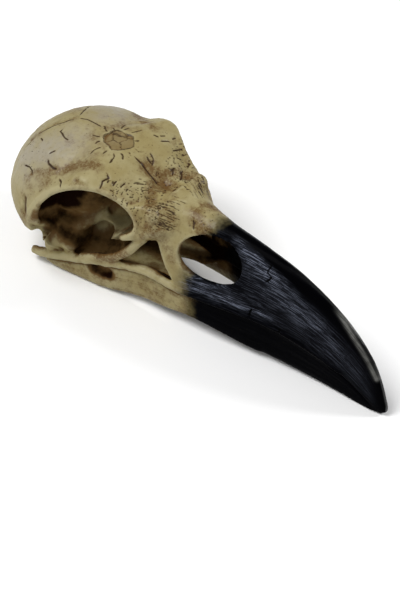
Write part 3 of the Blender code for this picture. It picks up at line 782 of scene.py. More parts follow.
# %% Named cracks: width and depth in millimetres, then the places
CRACKS = {
    "suture_left": (0.42, 0.45, ((182.4, 1, 66), (186, -3.7, 64.8), (189.5, -8, 62.8),
                                 (192.6, -11.6, 60.3), (195, -14.6, 57.6), (196, -18.3, 54.9),
                                 (197, -21, 52.4))),
    "suture_far": (0.45, 0.45, ((182.4, 1, 66), (184.6, 5.5, 65.2), (186.4, 9, 64),
                                (189.5, 15, 60.5), (191, 20, 56.8), (191.5, 24, 53))),
    "suture_front": (0.42, 0.4, ((182.4, 1, 66), (177.8, 1.7, 66.9), (173.5, 2.1, 67.2),
                                 (168.5, 2.2, 67.2))),
    "curl": (0.38, 0.4, ((183, -8.3, 65.2), (183, -10.6, 64.7), (180, -11.8, 65),
                         (177, -13.3, 65.1), (174.6, -13.7, 65.2))),
    "dash": (0.5, 0.45, ((176.8, -20, 62.4), (178.7, -22.6, 60.8))),
    "hook": (0.75, 0.7, ((177.8, -24.4, 59.8), (175.4, -26, 58.9), (172.4, -26.4, 58.7),
                         (170, -26.3, 58.8))),
    "temple": (0.55, 0.55, ((189.6, -27.8, 52.2), (185.5, -28.9, 53.6), (182.2, -30.2, 53.7),
                            (180.6, -31.4, 52.8))),
    "nick": (0.5, 0.45, ((190.3, -15.9, 60), (187.2, -17.7, 60.7))),
    "rim_back": (0.55, 0.65, ((166.2, -29, 57.4), (163.2, -30.9, 58.2), (161, -33.4, 57.2))),
    "rim_front": (0.6, 0.75, ((146.7, -18.5, 65.1), (144.2, -19.4, 64.1), (145.2, -22.7, 63.3),
                              (143.5, -26.4, 61.9))),
    "crease": (0.7, 0.5, ((146, -1.5, 65), (141, -1.0, 63), (137.8, -1.5, 61.3),
                          (132.7, -1.6, 58.4), (130, -1.4, 57.3))),
    "brow_1": (0.42, 0.4, ((143.5, -19.6, 63.5), (143.4, -21.3, 62.9))),
    "brow_2": (0.42, 0.4, ((142.1, -18.7, 63), (141.7, -20.3, 62.1))),
    "brow_3": (0.45, 0.45, ((141.3, -17.5, 62.9), (140.9, -20.5, 61.5))),
    "brow_4": (0.45, 0.45, ((138.2, -15, 61.9), (138.8, -18.3, 61))),
    "brow_5": (0.42, 0.4, ((136.2, -15.9, 60.2), (135.9, -17.2, 59.4))),
    "far_1": (0.45, 0.45, ((148.6, 13.8, 66.1), (146.5, 15.4, 65.5))),
    "far_2": (0.45, 0.45, ((146.5, 16.1, 65.4), (145.3, 18.8, 64.5))),
    "far_3": (0.45, 0.45, ((144.2, 14.1, 64.9), (142.1, 18.4, 63.1))),
    "far_4": (0.5, 0.5, ((138.1, 15.3, 61.8), (137.6, 22.3, 59.2))),
    "far_5": (0.5, 0.5, ((130.3, 16.3, 56.1), (131.5, 20, 55.5))),
    "far_6": (0.45, 0.4, ((143.1, 20.4, 63.1), (142.7, 23.3, 61.9))),
    "pit_1": (0.45, 0.5, ((131.3, 6.2, 59.1), (131.5, 9, 59.5), (129.2, 5.8, 58.2))),
    "pit_2": (0.45, 0.5, ((129.6, 11.5, 57.9), (126.8, 9.8, 57), (125.7, 6.6, 57.3))),
    "pit_3": (0.45, 0.45, ((135.1, 14.3, 60.2), (134, 17.1, 57.9))),
    "pit_4": (0.4, 0.4, ((143, 5.8, 64.4), (139.3, 4.4, 62.7), (138.1, 1.8, 61.4))),
    "pit_5": (0.4, 0.4, ((142.6, 3.3, 63.8), (139, 2, 62))),
    "nostril_top": (0.55, 0.55, ((106.1, -6.5, 53.7), (104.8, -7.6, 52.4), (103.5, -8.7, 50.5))),
    "bill_zigzag": (0.55, 0.4, ((65.7, -3.5, 50.8), (62.8, -3.6, 50.2), (63.3, -5.5, 47.1),
                                (60.8, -5.7, 45.9), (63.7, -7.5, 41.9))),
    "bill_edge_1": (0.75, 0.9, ((67.3, -10.9, 27.4), (68.4, -11.4, 24.5), (68.2, -11.5, 21.8))),
    "bill_edge_2": (0.6, 0.6, ((52.3, -9.4, 23.4), (53.2, -9.4, 20.2))),
}
CHIP = (157, -0.5, 67.2)      # middle of the crazed, sunk patch on the forehead
CHIP_RAYS = (                 # outer end, inner end and direction in radians, back of head is 0
    (13.0, 8.0, 0.25), (10.5, 7.4, 0.62), (15.5, 8.2, 1.05), (11.0, 8.0, 1.22), (13.5, 7.8, 1.75),
    (10.0, 7.4, 2.35), (14.0, 8.2, 2.9), (10.8, 8.0, 3.3), (12.5, 7.8, 3.75), (15.5, 8.4, 4.15),
    (11.0, 7.6, 4.55), (14.5, 8.2, 5.0), (10.0, 7.4, 5.45), (12.5, 8.0, 5.95))

THINNEST = 0.46               # a finer line would fall between the facets
crack = np.zeros(len(spots))
lift = np.zeros(len(spots))
for number, (width, depth, points) in enumerate(CRACKS.values()):
    share = line_share(points, max(0.9 * width, THINNEST), seed=3 * number)
    crack = strongest(crack, share)
    lift -= depth * share
print("Cracks cut:", len(CRACKS))

# %% The crazed patch and its hairline cracks
def crazing(middle, reach, count, seed):
    """1 on the borders of random cells round a place, and how deep each cell has sunk."""
    rng = np.random.default_rng(seed)
    turn, far = rng.uniform(0, 2 * math.pi, count), reach * np.sqrt(rng.uniform(0, 1, count))
    seeds = np.column_stack((middle[0] + far * np.cos(turn), middle[1] + far * np.sin(turn)))
    share, sunk = np.zeros(len(spots)), np.zeros(len(spots))
    close = np.hypot(spots[:, 0] - middle[0], spots[:, 1] - middle[1]) < 1.5 * reach
    flat = spots[close, :2] + 0.7 * np.column_stack([noise(spots[close], 2.0, k) for k in (8, 9)])
    gaps = np.linalg.norm(flat[:, None] - seeds[None], axis=2)
    sunk[close] = rng.uniform(0, 1, count)[np.argmin(gaps, axis=1)]
    gaps = np.sort(gaps, axis=1)
    share[close] = np.exp(-((gaps[:, 1] - gaps[:, 0]) / 0.8) ** 2)
    return share, sunk


across = spots - np.array(CHIP)
far = np.hypot(across[:, 0], across[:, 1])
top_side = (np.abs(across[:, 2]) < 5) & (facing[:, 2] > 0.3)
chip_edge = 6.6 + 1.5 * noise(spots, 4.0, 5) + 0.5 * noise(spots, 1.3, 4)
chip = ramp(chip_edge - far, -0.3, 0.5) * top_side
crazed, sunk = crazing(CHIP, reach=8.0, count=9, seed=51)
crazed *= chip * (0.75 + 0.5 * noise(spots, 1.8, 47))
chip_rim = np.exp(-((chip_edge - far) / 0.5) ** 2) * top_side
lift -= chip * (0.20 + 0.70 * sunk + 0.15 * noise(spots, 1.5, 6)) + 0.45 * crazed
crack = strongest(crack, crazed, 0.8 * chip_rim)
for outer, inner, turn in CHIP_RAYS:
    ends = []
    for reach in (inner, (inner + outer) / 2, outer):
        swing = turn + 0.05 * math.sin(3 * reach)
        station, side = CHIP[0] + reach * math.cos(swing), CHIP[1] + reach * math.sin(swing)
        ends.append((station, side, CHIP[2] - 0.010 * (reach * math.sin(swing)) ** 2))
    share = line_share(ends, 0.52, 0.6)
    crack = strongest(crack, 0.95 * share)
    lift -= 0.4 * share
print("Chipped corners:", int((chip > 0.5).sum()))

# %% Pits and scratches
side_out = np.abs(spots[:, 1])
station, height = spots[:, 0], spots[:, 2]
outer_skin = (facing[:, 1] * np.sign(spots[:, 1]) > -0.2) & (facing[:, 2] > 0.1)


def skin_between(first, last, low, high=99, inner=-1, outer=99):
    """Outer skin between two stations, two heights and two distances from the middle."""
    return (outer_skin & (station > first) & (station < last) & (height > low)
            & (height < high) & (side_out > inner) & (side_out < outer))


temple = skin_between(117, 141, 43, high=62, inner=12)
valley = skin_between(123, 136, 55, outer=13)
bridge = skin_between(113, 124, 46, inner=3.5, outer=17)
PITS = (                      # where, how many, smallest and largest size, seed, strength
    (temple, 230, (0.26, 0.50), 11, 1.0),
    (valley, 90, (0.30, 0.60), 12, 1.0),
    (skin_between(184, 230, 44, high=60), 90, (0.26, 0.46), 13, 1.0),
    (skin_between(128, 230, 46), 170, (0.24, 0.42), 14, 0.8),
    (skin_between(98, 107, 49), 34, (0.30, 0.60), 18, 1.0))
SCRATCHES = (                 # where, how many, way, shortest and longest, width, seed
    (bridge, 76, (-5.0, 2.2, -1.4), (3.5, 8.5), 0.27, 15),
    (valley, 26, (-3.0, 2.5, 0.3), (1.5, 4.0), 0.34, 16),
    (temple, 20, (1.5, 3.0, 1.5), (1.5, 3.2), 0.32, 17))
pits = strongest(*[strength * dots_share(*how) for *how, strength in PITS])
scratches = strongest(*[dashes_share(*how) for how in SCRATCHES])
lift -= 0.30 * pits + 0.24 * scratches
crack = strongest(crack, 0.85 * pits, 0.85 * scratches)
print("Pits and scratches cover", int((strongest(pits, scratches) > 0.4).sum()), "corners")

# %% [markdown]
# ## Grain of the bill and the jaw
# The black bill has fine grooves that run from the forehead to the tip and draw together
# there. A share from 0 at the mouth line to 1 at the culmen marks the same groove at every
# station, so noise stretched along it gives grooves that taper with the bill. The lower jaw
# gets the same, between its lower edge and the mouth.

# %% Lengthwise grain
table_stations = np.linspace(-2, 190, 193)


def at_corners(measure):
    """What a function gives for the station of every corner of the skin."""
    return np.interp(station, table_stations, [measure(s) for s in table_stations])


crest_here = at_corners(lambda s: along(CULMEN, s)[0])
mouth_here = at_corners(lambda s: edge_line(s)[1] - (0 if s < BAR_START else 2.0))
jaw_here = at_corners(lambda s: along(JAW_EDGE, s)[1])
in_jaw = ramp(mouth_here - height, -0.4, 0.8) * ramp(station, 3, 5)
bill_share = (height - mouth_here) / np.maximum(crest_here - mouth_here, 3)
jaw_share = (height - jaw_here) / np.maximum(mouth_here - jaw_here, 3)
share = np.where(in_jaw > 0.5, jaw_share + 4, bill_share)
left_right = 9.0 * np.sign(spots[:, 1])
grain_coarse = noise(np.column_stack((station / 30, share * 13, left_right)), 1.0, 21)
grain_fine = noise(np.column_stack((station / 16, share * 34, left_right)), 1.0, 22)
streak = 0.55 * grain_coarse + 0.6 * grain_fine
flow = MM * np.column_stack((station / 10, share * 72, left_right))
on_bill = ramp(108 - station, 0, 14)
on_jaw = in_jaw * ramp(190 - station, 0, 10)
lift += 0.13 * streak * np.maximum(on_bill, 0.75 * on_jaw)
print("Grain between", streak.min().round(2), "and", streak.max().round(2))

# %% [markdown]
# ## Mouth line and the unevenness of hand work
# Two grooves deepen the dip between forehead and bill, and the cheek bars are knobbly. The
# rear lip of the eye socket is thick and rounded, with a crease behind it. A groove runs
# where bill and jaw, and behind them cheek bar and jaw, lie on each other. Bone is never as
# smooth as an egg, so three sizes of noise stand the skin in and out by up to a third of a
# millimetre, less on the bill. Nothing is raised where the head is widest, so that the
# carving doesn't make the skull wider than its CAD model.

# %% Mouth line, swells and the finished relief
def both_sides(points):
    """A line on the right side of the skull, and its mirror image on the left."""
    return [points, [(s, -y, h) for s, y, h in points]]


def near_line(line, radius):
    """1 on a line, falling to 0 at its sides, through air and bone alike."""
    line = np.array(line, float)
    share = np.zeros(len(spots))
    for a, b in zip(line, line[1:]):
        t = np.clip((spots - a) @ (b - a) / np.sum((b - a) ** 2), 0, 1)
        gap = spots - a - t[:, None] * (b - a)
        share = strongest(share, np.exp(-np.sum(gap**2, axis=1) / radius**2))
    return share


EYE_LIP = [(171, -36, 51), (175, -37.5, 45), (176, -37.5, 38), (176, -35, 32)]
LIP_CREASE = [(181, -37.5, 43), (180.5, -38.5, 38), (180, -36.5, 32)]
VALLEY_GROOVES = (            # depth and half width in millimetres, places on the right side
    (0.9, 2.0, [(140, -1.2, 62), (134, -1.2, 59), (128, 0.5, 57)]),
    (0.7, 1.9, [(131, -3, 58.3), (127.5, -8, 57.2), (124.5, -12, 55.5)]))
for depth, half_width, points in VALLEY_GROOVES:
    for line in both_sides(points):
        lift -= 0.6 * depth * near_line(line, half_width)
bar_line = [(s, -along(BAR, s)[0], along(BAR, s)[1]) for s in range(114, 190, 6)]
on_bar = strongest(*[near_line(line, 3.4) for line in both_sides(bar_line)])
lift += on_bar * (0.42 * noise(spots, 3.4, 49) + 0.16 * noise(spots, 1.4, 50))
forward = np.zeros(len(spots))
for lip_line, crease_line in zip(both_sides(EYE_LIP), both_sides(LIP_CREASE)):
    forward += 2.4 * near_line(lip_line, 3.2) * ramp(-facing[:, 0], -0.2, 0.4)
    crease = near_line(crease_line, 1.5)
    lift -= 1.1 * crease
    # the crease behind the lip is drawn dark like a crack, as painted shade
    crack = strongest(crack, 0.72 * crease)
side_here = at_corners(lambda s: edge_line(s)[0])
groove_here = at_corners(lambda s: edge_line(s)[1] - (1.6 if s < BAR_START else 2.9))
mouth = np.exp(-((height - groove_here) / 0.55) ** 2) * ramp(side_out - side_here, -4.5, -2.5)
mouth *= ramp(station, 2, 12)
mouth *= ramp(184 - station, 0, 8)
lift -= 0.55 * mouth
swell = (0.22 * noise(spots, 8.0, 31) + 0.10 * noise(spots, 2.6, 32)
         + 0.05 * noise(spots, 1.2, 33))
lift += swell * (1 - 0.75 * on_bill)
widest = ramp(side_out, 36.5, 38.0) * (lift > 0)
moved = spots + facing * (lift * (1 - widest))[:, None]
moved[:, 0] -= forward
moved[:, 0] = SKULL_LENGTH / 2 - moved[:, 0]
skin.data.vertices.foreach_set("co", (moved * MM).ravel())
skin.data.update()
print("Relief from", lift.min().round(2), "to", lift.max().round(2), "mm")

# %% [markdown]
# ## Where the wash collects, and where shade falls
# The painter brushes thin brown over the dry casting and wipes it off, so it stays in
# hollows. Two measures find them. The large one casts rays from the skin of a coarser copy
# and counts how many hit the skull again; where few rays get out, shade falls, and the paint
# there is wash and painted shade together. The small one compares the skin with a smoothed
# copy: a corner below it lies in a groove, one above it on a ridge.

# %% Large hollows, by rays
def copy_of(thing, name):
    """New object with a copy of a mesh."""
    return new_object(name, thing.data.copy())


def sphere_ways(count):
    """Directions spread evenly over a ball, along a spiral."""
    index = np.arange(count) + 0.5
    rise = 1 - 2 * index / count
    turn = index * math.pi * (1 + 5**0.5)
    flat = np.sqrt(1 - rise**2)
    return np.column_stack((flat * np.cos(turn), flat * np.sin(turn), rise))


def hollow_measure(thing, voxel, reach, ways):
    """How much of the sky the skull hides from each corner of a coarse copy."""
    coarse = copy_of(thing, "coarse")
    remesh(coarse, voxel)
    tree = BVHTree.FromPolygons([v.co for v in coarse.data.vertices],
                                [p.vertices for p in coarse.data.polygons])
    directions = [Vector(way) for way in sphere_ways(ways)]
    places, hidden = [], []
    for corner, normal in zip(coarse.data.vertices, coarse.data.vertex_normals):
        out = normal.vector
        start = corner.co + out * 0.4 * MM         # just off the facet it starts from
        facing_ways = [way for way in directions if way.dot(out) > 0.15]
        hits = sum(tree.ray_cast(start, way, reach * MM)[0] is not None for way in facing_ways)
        places.append(corner.co.copy())
        hidden.append(hits / len(facing_ways))
    bpy.data.objects.remove(coarse)
    return places, hidden


def search_tree(places):
    """Tree that finds the nearest of many places, and says its number in their list."""
    tree = KDTree(len(places))
    for index, spot in enumerate(places):
        tree.insert(spot, index)
    tree.balance()
    return tree


def spread(places, values, targets):
    """Values at the target places, from the three nearest known places."""
    tree = search_tree(places)
    result = []
    for target in targets:
        near = tree.find_n(target, 3)
        weights = [1 / (distance + 0.0002) for _, _, distance in near]
        total = sum(w * values[index] for w, (_, index, _) in zip(weights, near))
        result.append(total / sum(weights))
    return np.array(result)


places, hidden = hollow_measure(skin, voxel=1.8, reach=40, ways=40)
shade_and_wash = spread(places, hidden, [v.co for v in skin.data.vertices])
for where, probe in {"crown": (173, 0, 67), "eye socket": (173, -21, 36),
                     "nose wall": (111, -15, 41), "window": (128, -11, 18)}.items():
    nearest = np.argmin(np.sum((spots - np.array(probe)) ** 2, axis=1))
    print(where, "hides", shade_and_wash[nearest].round(2), "of its sky")

# %% Small ridges and grooves, by smoothing
def ridge_measure(thing, times):
    """Millimetres that each corner stands above the smoothed skin."""
    soft = copy_of(thing, "soft")
    smooth(soft, times)
    soft_spots, _ = skin_arrays(soft)
    bpy.data.objects.remove(soft)
    hard_spots, out = skin_arrays(thing)
    return np.sum((hard_spots - soft_spots) * out, axis=1)


ridge = np.clip(ridge_measure(skin, 8) / 0.10, -1, 1)
edge = np.clip(ridge_measure(skin, 60) / 0.45, -1, 1)
print("Ridges:", int((edge > 0.5).sum()), "corners, grooves:", int((edge < -0.5).sum()))

# %% [markdown]
# ## Where the paint goes
# Brown stains sit above the eye, behind it, and where the forehead dips. They are soft lines
# through a few places, and every mark on the right side has its mirror image on the left.
# The same kind of mark says where near-black painted shade lies in the eye sockets, the jaw's
# recess and the bill, where wash and painted shade are left off, where the dome has a greyish
# painted sheen, where dry brush and painted sheen lie on the bill, and where the crest has a
# painted highlight.

# %% Marks of the brush and of painted light and shade: strength, radius in millimetres, places on the right side
STAINS = (                    # brown
    (0.75, 3.8, [(181, -31, 54), (176, -30.4, 56), (171, -31.2, 55)]),
    (0.42, 6.0, [(176, -12, 65.5), (165, -12, 66.5), (155, -10, 67)]),
    (0.35, 4.0, [(182, -37, 43), (184, -35, 40)]),
    (0.85, 4.2, [(172, -28.5, 57.5), (166, -24.5, 60.8), (160, -20.5, 64), (153, -19, 66)]),
    (0.40, 4.0, [(183, -32.5, 51), (179, -35, 48)]),
    # the next row is painted shade under the rear lip of the eye socket
    (0.65, 4.0, [(181, -38.5, 34), (183, -36, 30), (188, -30, 25)]),
    (0.55, 5.0, [(108, -15.5, 33), (113, -16.5, 38), (116, -18, 45)]),
    (1.00, 5.0, [(138, -1, 61), (132, 0, 58), (127, 2.5, 56.8)]),
    (0.95, 3.6, [(132, -4, 58.5), (128.5, -9, 57.6), (125, -12, 56)]),
    (0.70, 4.6, [(125, -12, 55), (121.5, -14, 54), (118, -16.5, 48), (119, -18.5, 43)]),
    (0.60, 5.0, [(119, -9, 56), (115, -12, 52.8), (112, -13, 50)]),
    (0.50, 5.5, [(128, -20, 50), (123.5, -20, 47), (121, -19.5, 38)]),
    (0.80, 3.2, [(128.3, -10.2, 57.6), (125, -14.5, 55.8), (121.5, -17.5, 53),
                 (121, -19, 48.5), (123, -20.5, 43)]),
    (0.90, 4.5, [(107, -3, 56), (103, -7, 52), (98, -7, 51.5)]),
    (0.90, 4.5, [(134, -22.5, 29), (138, -23.3, 25), (141, -25, 21.5), (148, -27, 19.5)]),
    (0.55, 3.2, [(184, 1, 66), (190, -8, 62.5), (196, -16, 56)]),
    (0.50, 5.0, [(157, 9, 67), (164, 10, 66.4), (168, 3, 67.4)]),
)
PAINTED_SHADES = (                    # near-black painted shade, deep in the eye sockets and in the jaw's recess
    (1.00, 8.5, [(180, -30, 44), (173, -23, 41), (166, -20, 45), (157, -19, 50)]),
    (0.85, 6.0, [(178, -34, 39), (173, -21, 35), (168, -19, 37)]),
    (0.66, 6.0, [(174, -25, 24), (168, -24, 21), (162, -19, 16)]),
    (1.00, 3.4, [(151, -24, 9.8), (147, -24, 9.8), (143, -23.5, 10)]),
)
INNER_PAINTED_SHADES = (              # near-black painted shade inside the bill, only on skin that faces the middle
    (1.00, 6.0, [(124, -13, 19), (111, -14, 19.6), (98, -12.4, 23.7), (88, -10, 30)]),
    (1.00, 8.0, [(118, -8, 44), (104, -6, 42), (90, -4, 40), (80, -2, 36)]),
)
LESS_WASH_AND_SHADE = (                      # wash and painted shade left off where inner walls catch light: socket, window, behind bar
    (0.95, 7.0, [(162, -9, 22), (156, -8, 28), (149, -9, 30), (143, -11, 32)]),
    (0.72, 8.0, [(137, -12, 19), (129, -11, 18.4), (122, -13, 19)]),
    (0.35, 8.0, [(170, -22, 11), (158, -17, 11), (148, -15, 14)]),
)
GREY_SHEEN = (                      # greyish painted sheen, a reflection of the sky, on the sides of the dome
    (1.00, 11.0, [(192, -24, 54), (185, -27, 55.5), (181, -22, 60), (174, -14, 65)]),
)
BRUSH_AND_SHEEN_MARKS = (                 # where dry brush and a painted sheen leave most blue-grey on the bill
    (1.00, 7.0, [(77, -3, 52), (68, -5, 49), (60, -6, 46)]),
    (0.45, 6.0, [(60, -6, 43), (48, -6, 39), (36, -5.5, 34)]),
    (0.26, 5.0, [(36, -5, 34), (24, -4.5, 25), (14, -4, 15)]),
    (0.80, 2.8, [(98, -15, 29), (90, -13.7, 28.4), (80, -12.5, 28)]),
)
CREST_HIGHLIGHTS = (                # pale painted highlight along the edge of the crest, near the tip
    (1.00, 0.95, [(33, -0.8, 46), (24, -0.8, 39.6), (16, -0.8, 32), (10, -0.7, 25.6),
                  (5, -0.6, 18)]),
)


def marks_share(marks):
    """Strongest of several soft lines, on both sides of the skull."""
    return strongest(*[strength * near_line(line, radius)
                       for strength, radius, points in marks for line in both_sides(points)])


MARKS = STAINS + PAINTED_SHADES + INNER_PAINTED_SHADES + LESS_WASH_AND_SHADE + GREY_SHEEN + BRUSH_AND_SHEEN_MARKS + CREST_HIGHLIGHTS
print("Marks of the brush on each side:", len(MARKS))

# %% Stains, greyish painted sheen, and wash and painted shade in the hollows
mottle = (0.55 * noise(spots, 4.5, 41) + 0.45 * noise(spots, 1.7, 44)
          + 0.30 * noise(spots, 0.9, 45))
stain = strongest(marks_share(STAINS),
                  # darker low on the back of the head
                  0.5 * ramp(30 - height, 0, 18) * ramp(station, 182, 196),
                  in_jaw * (0.36 + 0.3 * ramp(-streak, -0.2, 0.5)),
                  0.34 * ramp(noise(spots, 13, 48) + 0.5 * mottle, 0.05, 0.75))
stain = np.clip(1.25 * stain * ramp(mottle + stain, -0.15, 0.9), 0, 1)
# greyish painted sheen on the sides of the dome
grey = np.clip(marks_share(GREY_SHEEN) * (0.9 + 0.6 * mottle), 0, 1)
before_ear = strongest(ramp(-facing[:, 0], -0.1, 0.25), ramp(172 - station, 0, 3))
inward = ramp(-facing[:, 1] * np.sign(spots[:, 1]), -0.3, 0.3)
# wash and painted shade: the sky hidden by the skull, less where inner walls catch light, and
# near-black painted shade in the sockets, the jaw's recess and the bill
shade_and_wash = strongest(shade_and_wash * (1 - marks_share(LESS_WASH_AND_SHADE)), before_ear * marks_share(PAINTED_SHADES),
                   inward * marks_share(INNER_PAINTED_SHADES))
shade_and_wash = np.clip(shade_and_wash + 0.10 * mottle, 0, 1)
print("Stained corners:", int((stain > 0.5).sum()), "hollow corners:", int((shade_and_wash > 0.5).sum()))

# %% [markdown]
# ## Black paint, dry brush, painted sheen and gloss
# The black runs from the tip to the nostrils and ends in a soft, sprayed border that lies
# further back at the mouth than on the culmen. Blue-grey on the raised grain of the bill's
# sides is dry brush and painted sheen together, and along the ledge over the mouth it is a
# painted highlight; the crest gets none. The crest is glossy near the tip and carries a pale
# painted highlight along its edge. The jaw is left plain black.

# %% Masks for the black paint
CREST_BORDER, BORDER_LEAN, JAW_BORDER = 95.5, 8.0, 100.5      # stations where the black ends

border = CREST_BORDER + BORDER_LEAN * (1 - np.clip((height - 27) / 27, 0, 1))
border = np.where(in_jaw > 0.5, JAW_BORDER, border)
border = border + 1.6 * noise(spots, 3.2, 42) + 0.9 * noise(spots, 0.9, 43)
inner_wall = ramp(side_here - side_out, 2.5, 4.5) * (station < 100) * (height > 24) * (height < 52)
black = strongest(ramp(border - station, -6.0, 5.5), inner_wall * ramp(100 - station, 0, 6))
band = np.interp(station, (0, 15, 30, 45, 66, 76, 95), (1.8, 3.0, 3.8, 4.5, 3.9, 2.5, 1.6))
flank = ramp(bill_share, -0.05, 0.14) * ramp(side_out - band, -0.8, 1.0)
patches = 0.9 + 0.5 * noise(np.column_stack((station / 2.2, share * 16, left_right)), 7.0, 46)
# blue-grey on the bill's sides: dry brush and painted sheen
brush_and_sheen = flank * patches * (0.20 + 0.80 * marks_share(BRUSH_AND_SHEEN_MARKS))
brush_and_sheen *= 1 - 0.75 * ramp(station, 78, 87) * ramp(height, 38, 44)
brush_and_sheen = np.where(in_jaw > 0.5, 0.006, brush_and_sheen) * (0.6 + 0.4 * ramp(streak, -0.4, 0.6))
# painted highlight along the ledge over the mouth, laid on as blue-grey
ledge = np.exp(-((bill_share - 0.13) / 0.05) ** 2) * ramp(station, 54, 62) * (in_jaw < 0.5)
brush_and_sheen = strongest(brush_and_sheen, 0.9 * ledge) * ramp(station, 1, 10)
brush_and_sheen = np.clip(brush_and_sheen * (1 - inward), 0, 1)
# pale painted highlight along the edge of the crest, near the tip
crest_highlight = marks_share(CREST_HIGHLIGHTS)
crest_highlight *= 0.85 * ramp(32 - station, 0, 16) * (0.9 + 0.5 * mottle)
tip_crest = ramp(0.45 - np.abs(facing[:, 1]), 0, 0.2) * ramp(60 - station, 0, 25) * (in_jaw < 0.5)
gloss = np.where(black > 0.5, 0.8 * tip_crest, 0.22 * (1 - ramp(shade_and_wash, 0.2, 0.5)))
print("Black corners:", int((black > 0.5).sum()))

# %% [markdown]
# ## Parting the casting
# The CAD model names ten pieces, so the casting is parted along the same borders: the mouth
# sheet, cuts across at three stations, one under the roof of the nose, the middle plane, and
# the two sheets that free the cheek bars. Here the pieces touch without a gap, because the
# ornament is one casting, and the carved skin runs over the borders unbroken. Each piece
# keeps the normals of the whole skin for the same reason.

# %% Solid regions between the borders
def plain_material(name, colour, roughness):
    """Material of one colour."""
    material = bpy.data.materials.new(name)
    material.use_nodes = True
    shader = material.node_tree.nodes["Principled BSDF"]
    shader.inputs["Base Color"].default_value = (*colour, 1)
    shader.inputs["Roughness"].default_value = roughness
    return material


def block(name, low, high):
    """Box between two opposite corners, each a station, side and height."""
    first, last = place(*low), place(*high)
    bm = bmesh.new()
    bmesh.ops.create_cube(bm, size=1.0)
    size = Matrix.Diagonal((*[abs(b - a) for a, b in zip(first, last)], 1))
    bmesh.ops.transform(bm, matrix=Matrix.Translation((first + last) / 2) @ size, verts=bm.verts)
    return mesh_of(bm, name)


def mouth_height(station):
    """Height of the cut between bill and jaw, a little below the mouth line or the cheek bar."""
    height = edge_line(station)[1]
    if station < BAR_START:
        return height - 1.6
    return height - 2.4 + 0.8 * max(1 - (station - BAR_START) / 10, 0)


def below_mouth():
    """Everything under the mouth sheet, which dips between the walls of the jaw."""
    far_side, far_below = 70, -30
    rings = []
    stations = (*steps(-8, 62, 9), *steps(63, 78, 11), *steps(86, 168, 10), *steps(171, 192, 7))
    for station in stations:
        outer = mouth_height(station)
        share = min(max(station - 64, 0) / 10, 1)
        inner = outer + (along(PALATE_FLOOR, station)[0] - outer) * share
        wall = max(edge_line(station)[0] - 1.6, 2)
        right = ((far_side, outer), (wall, outer), (wall - 1.2, inner))
        line = [(-y, h) for y, h in right] + list(right[::-1])
        rings.append([place(station, y, h)
                      for y, h in (*line, (far_side, far_below), (-far_side, far_below))])
    return loft("below_mouth", rings)


def bar_zone(sign):
    """Space outside and below the two sheets that part a cheek bar from the skull."""
    rings = []
    for station in steps(HINGE_STATION - 0.1, 194, 14):
        side, height = along(BAR, station)
        inner, top, low = side - BAR_DEPTH, height + BAR_RISE, mouth_height(station) - 9
        rings.append([place(station, sign * y, h)
                      for y, h in ((inner, low), (inner, top), (60, top), (60, low))])
    return loft("bar_zone", rings)


SPLIT_STATION = 163           # between the back and the front piece of the cranium
FAR_BACK = 230                # a station well behind the head
INSIDE = plain_material("resin_inside", (0.42, 0.36, 0.24), 0.5)      # of the flat cuts
print("Mouth sheet at station 80:", round(mouth_height(80), 1), "mm high")

# %% Cut the casting into its named pieces
def part_by(name, source, region, keep):
    """Copy of a solid with only what lies in a region (INTERSECT) or outside it (DIFFERENCE)."""
    thing = copy_of(source, name)
    if not region.data.materials:
        region.data.materials.append(INSIDE)
    boolean(thing, keep, region, "TRANSFER")
    return thing


def span(name, source, first, last, low=-20, high=100, right=-80, left=80):
    """Part of a solid between two stations, two heights and two sides."""
    box = block("box", (first, right, low), (last, left, high))
    piece = part_by(name, source, box, "INTERSECT")
    bpy.data.objects.remove(box)
    return piece


def parted(body):
    """The pieces, named after their CAD nodes; the cranium is heavy and comes in two."""
    below = below_mouth()
    lower = part_by("lower", body, below, "INTERSECT")
    upper = part_by("upper", body, below, "DIFFERENCE")
    back = span("back", upper, HINGE_STATION, FAR_BACK)
    nose = (upper, NOSE_STATION, HINGE_STATION)
    pieces = {
        "jaw_front": span("jaw_front", lower, -20, JAW_STATION),
        "jaw_left": span("jaw_left", lower, JAW_STATION, FAR_BACK, right=0),
        "jaw_right": span("jaw_right", lower, JAW_STATION, FAR_BACK, left=0),
        "upper_bill": span("upper_bill", upper, -20, NOSE_STATION),
        "nose_roof": span("nose_roof", *nose, low=ROOF_HEIGHT),
        "nose_wall_left": span("nose_wall_left", *nose, high=ROOF_HEIGHT, right=0),
        "nose_wall_right": span("nose_wall_right", *nose, high=ROOF_HEIGHT, left=0),
    }
    for sign, side in ((1, "left"), (-1, "right")):
        zone = bar_zone(sign)
        pieces["cheek_bar_" + side] = part_by("cheek_bar_" + side, back, zone, "INTERSECT")
        rest = part_by("cranium", back, zone, "DIFFERENCE")
        bpy.data.objects.remove(back)
        bpy.data.objects.remove(zone)
        back = rest
    pieces["cranium_back"] = span("cranium_back", back, SPLIT_STATION, FAR_BACK)
    pieces["cranium_front"] = span("cranium_front", back, 100, SPLIT_STATION)
    for scrap in (back, below, lower, upper):
        bpy.data.objects.remove(scrap)
    return pieces


skin.data.materials.append(bpy.data.materials.new("skin_paint"))
pieces = parted(skin)
for name, piece in pieces.items():
    print(f"{name}: {sum(len(p.vertices) - 2 for p in piece.data.polygons)} triangles")

# %% [markdown]
# ## Keeping only whole bodies
# A cut may leave crumbs of a few facets where two borders pass close to each other. Each
# piece keeps its largest body, found by walking along the edges, and crumbs are deleted.

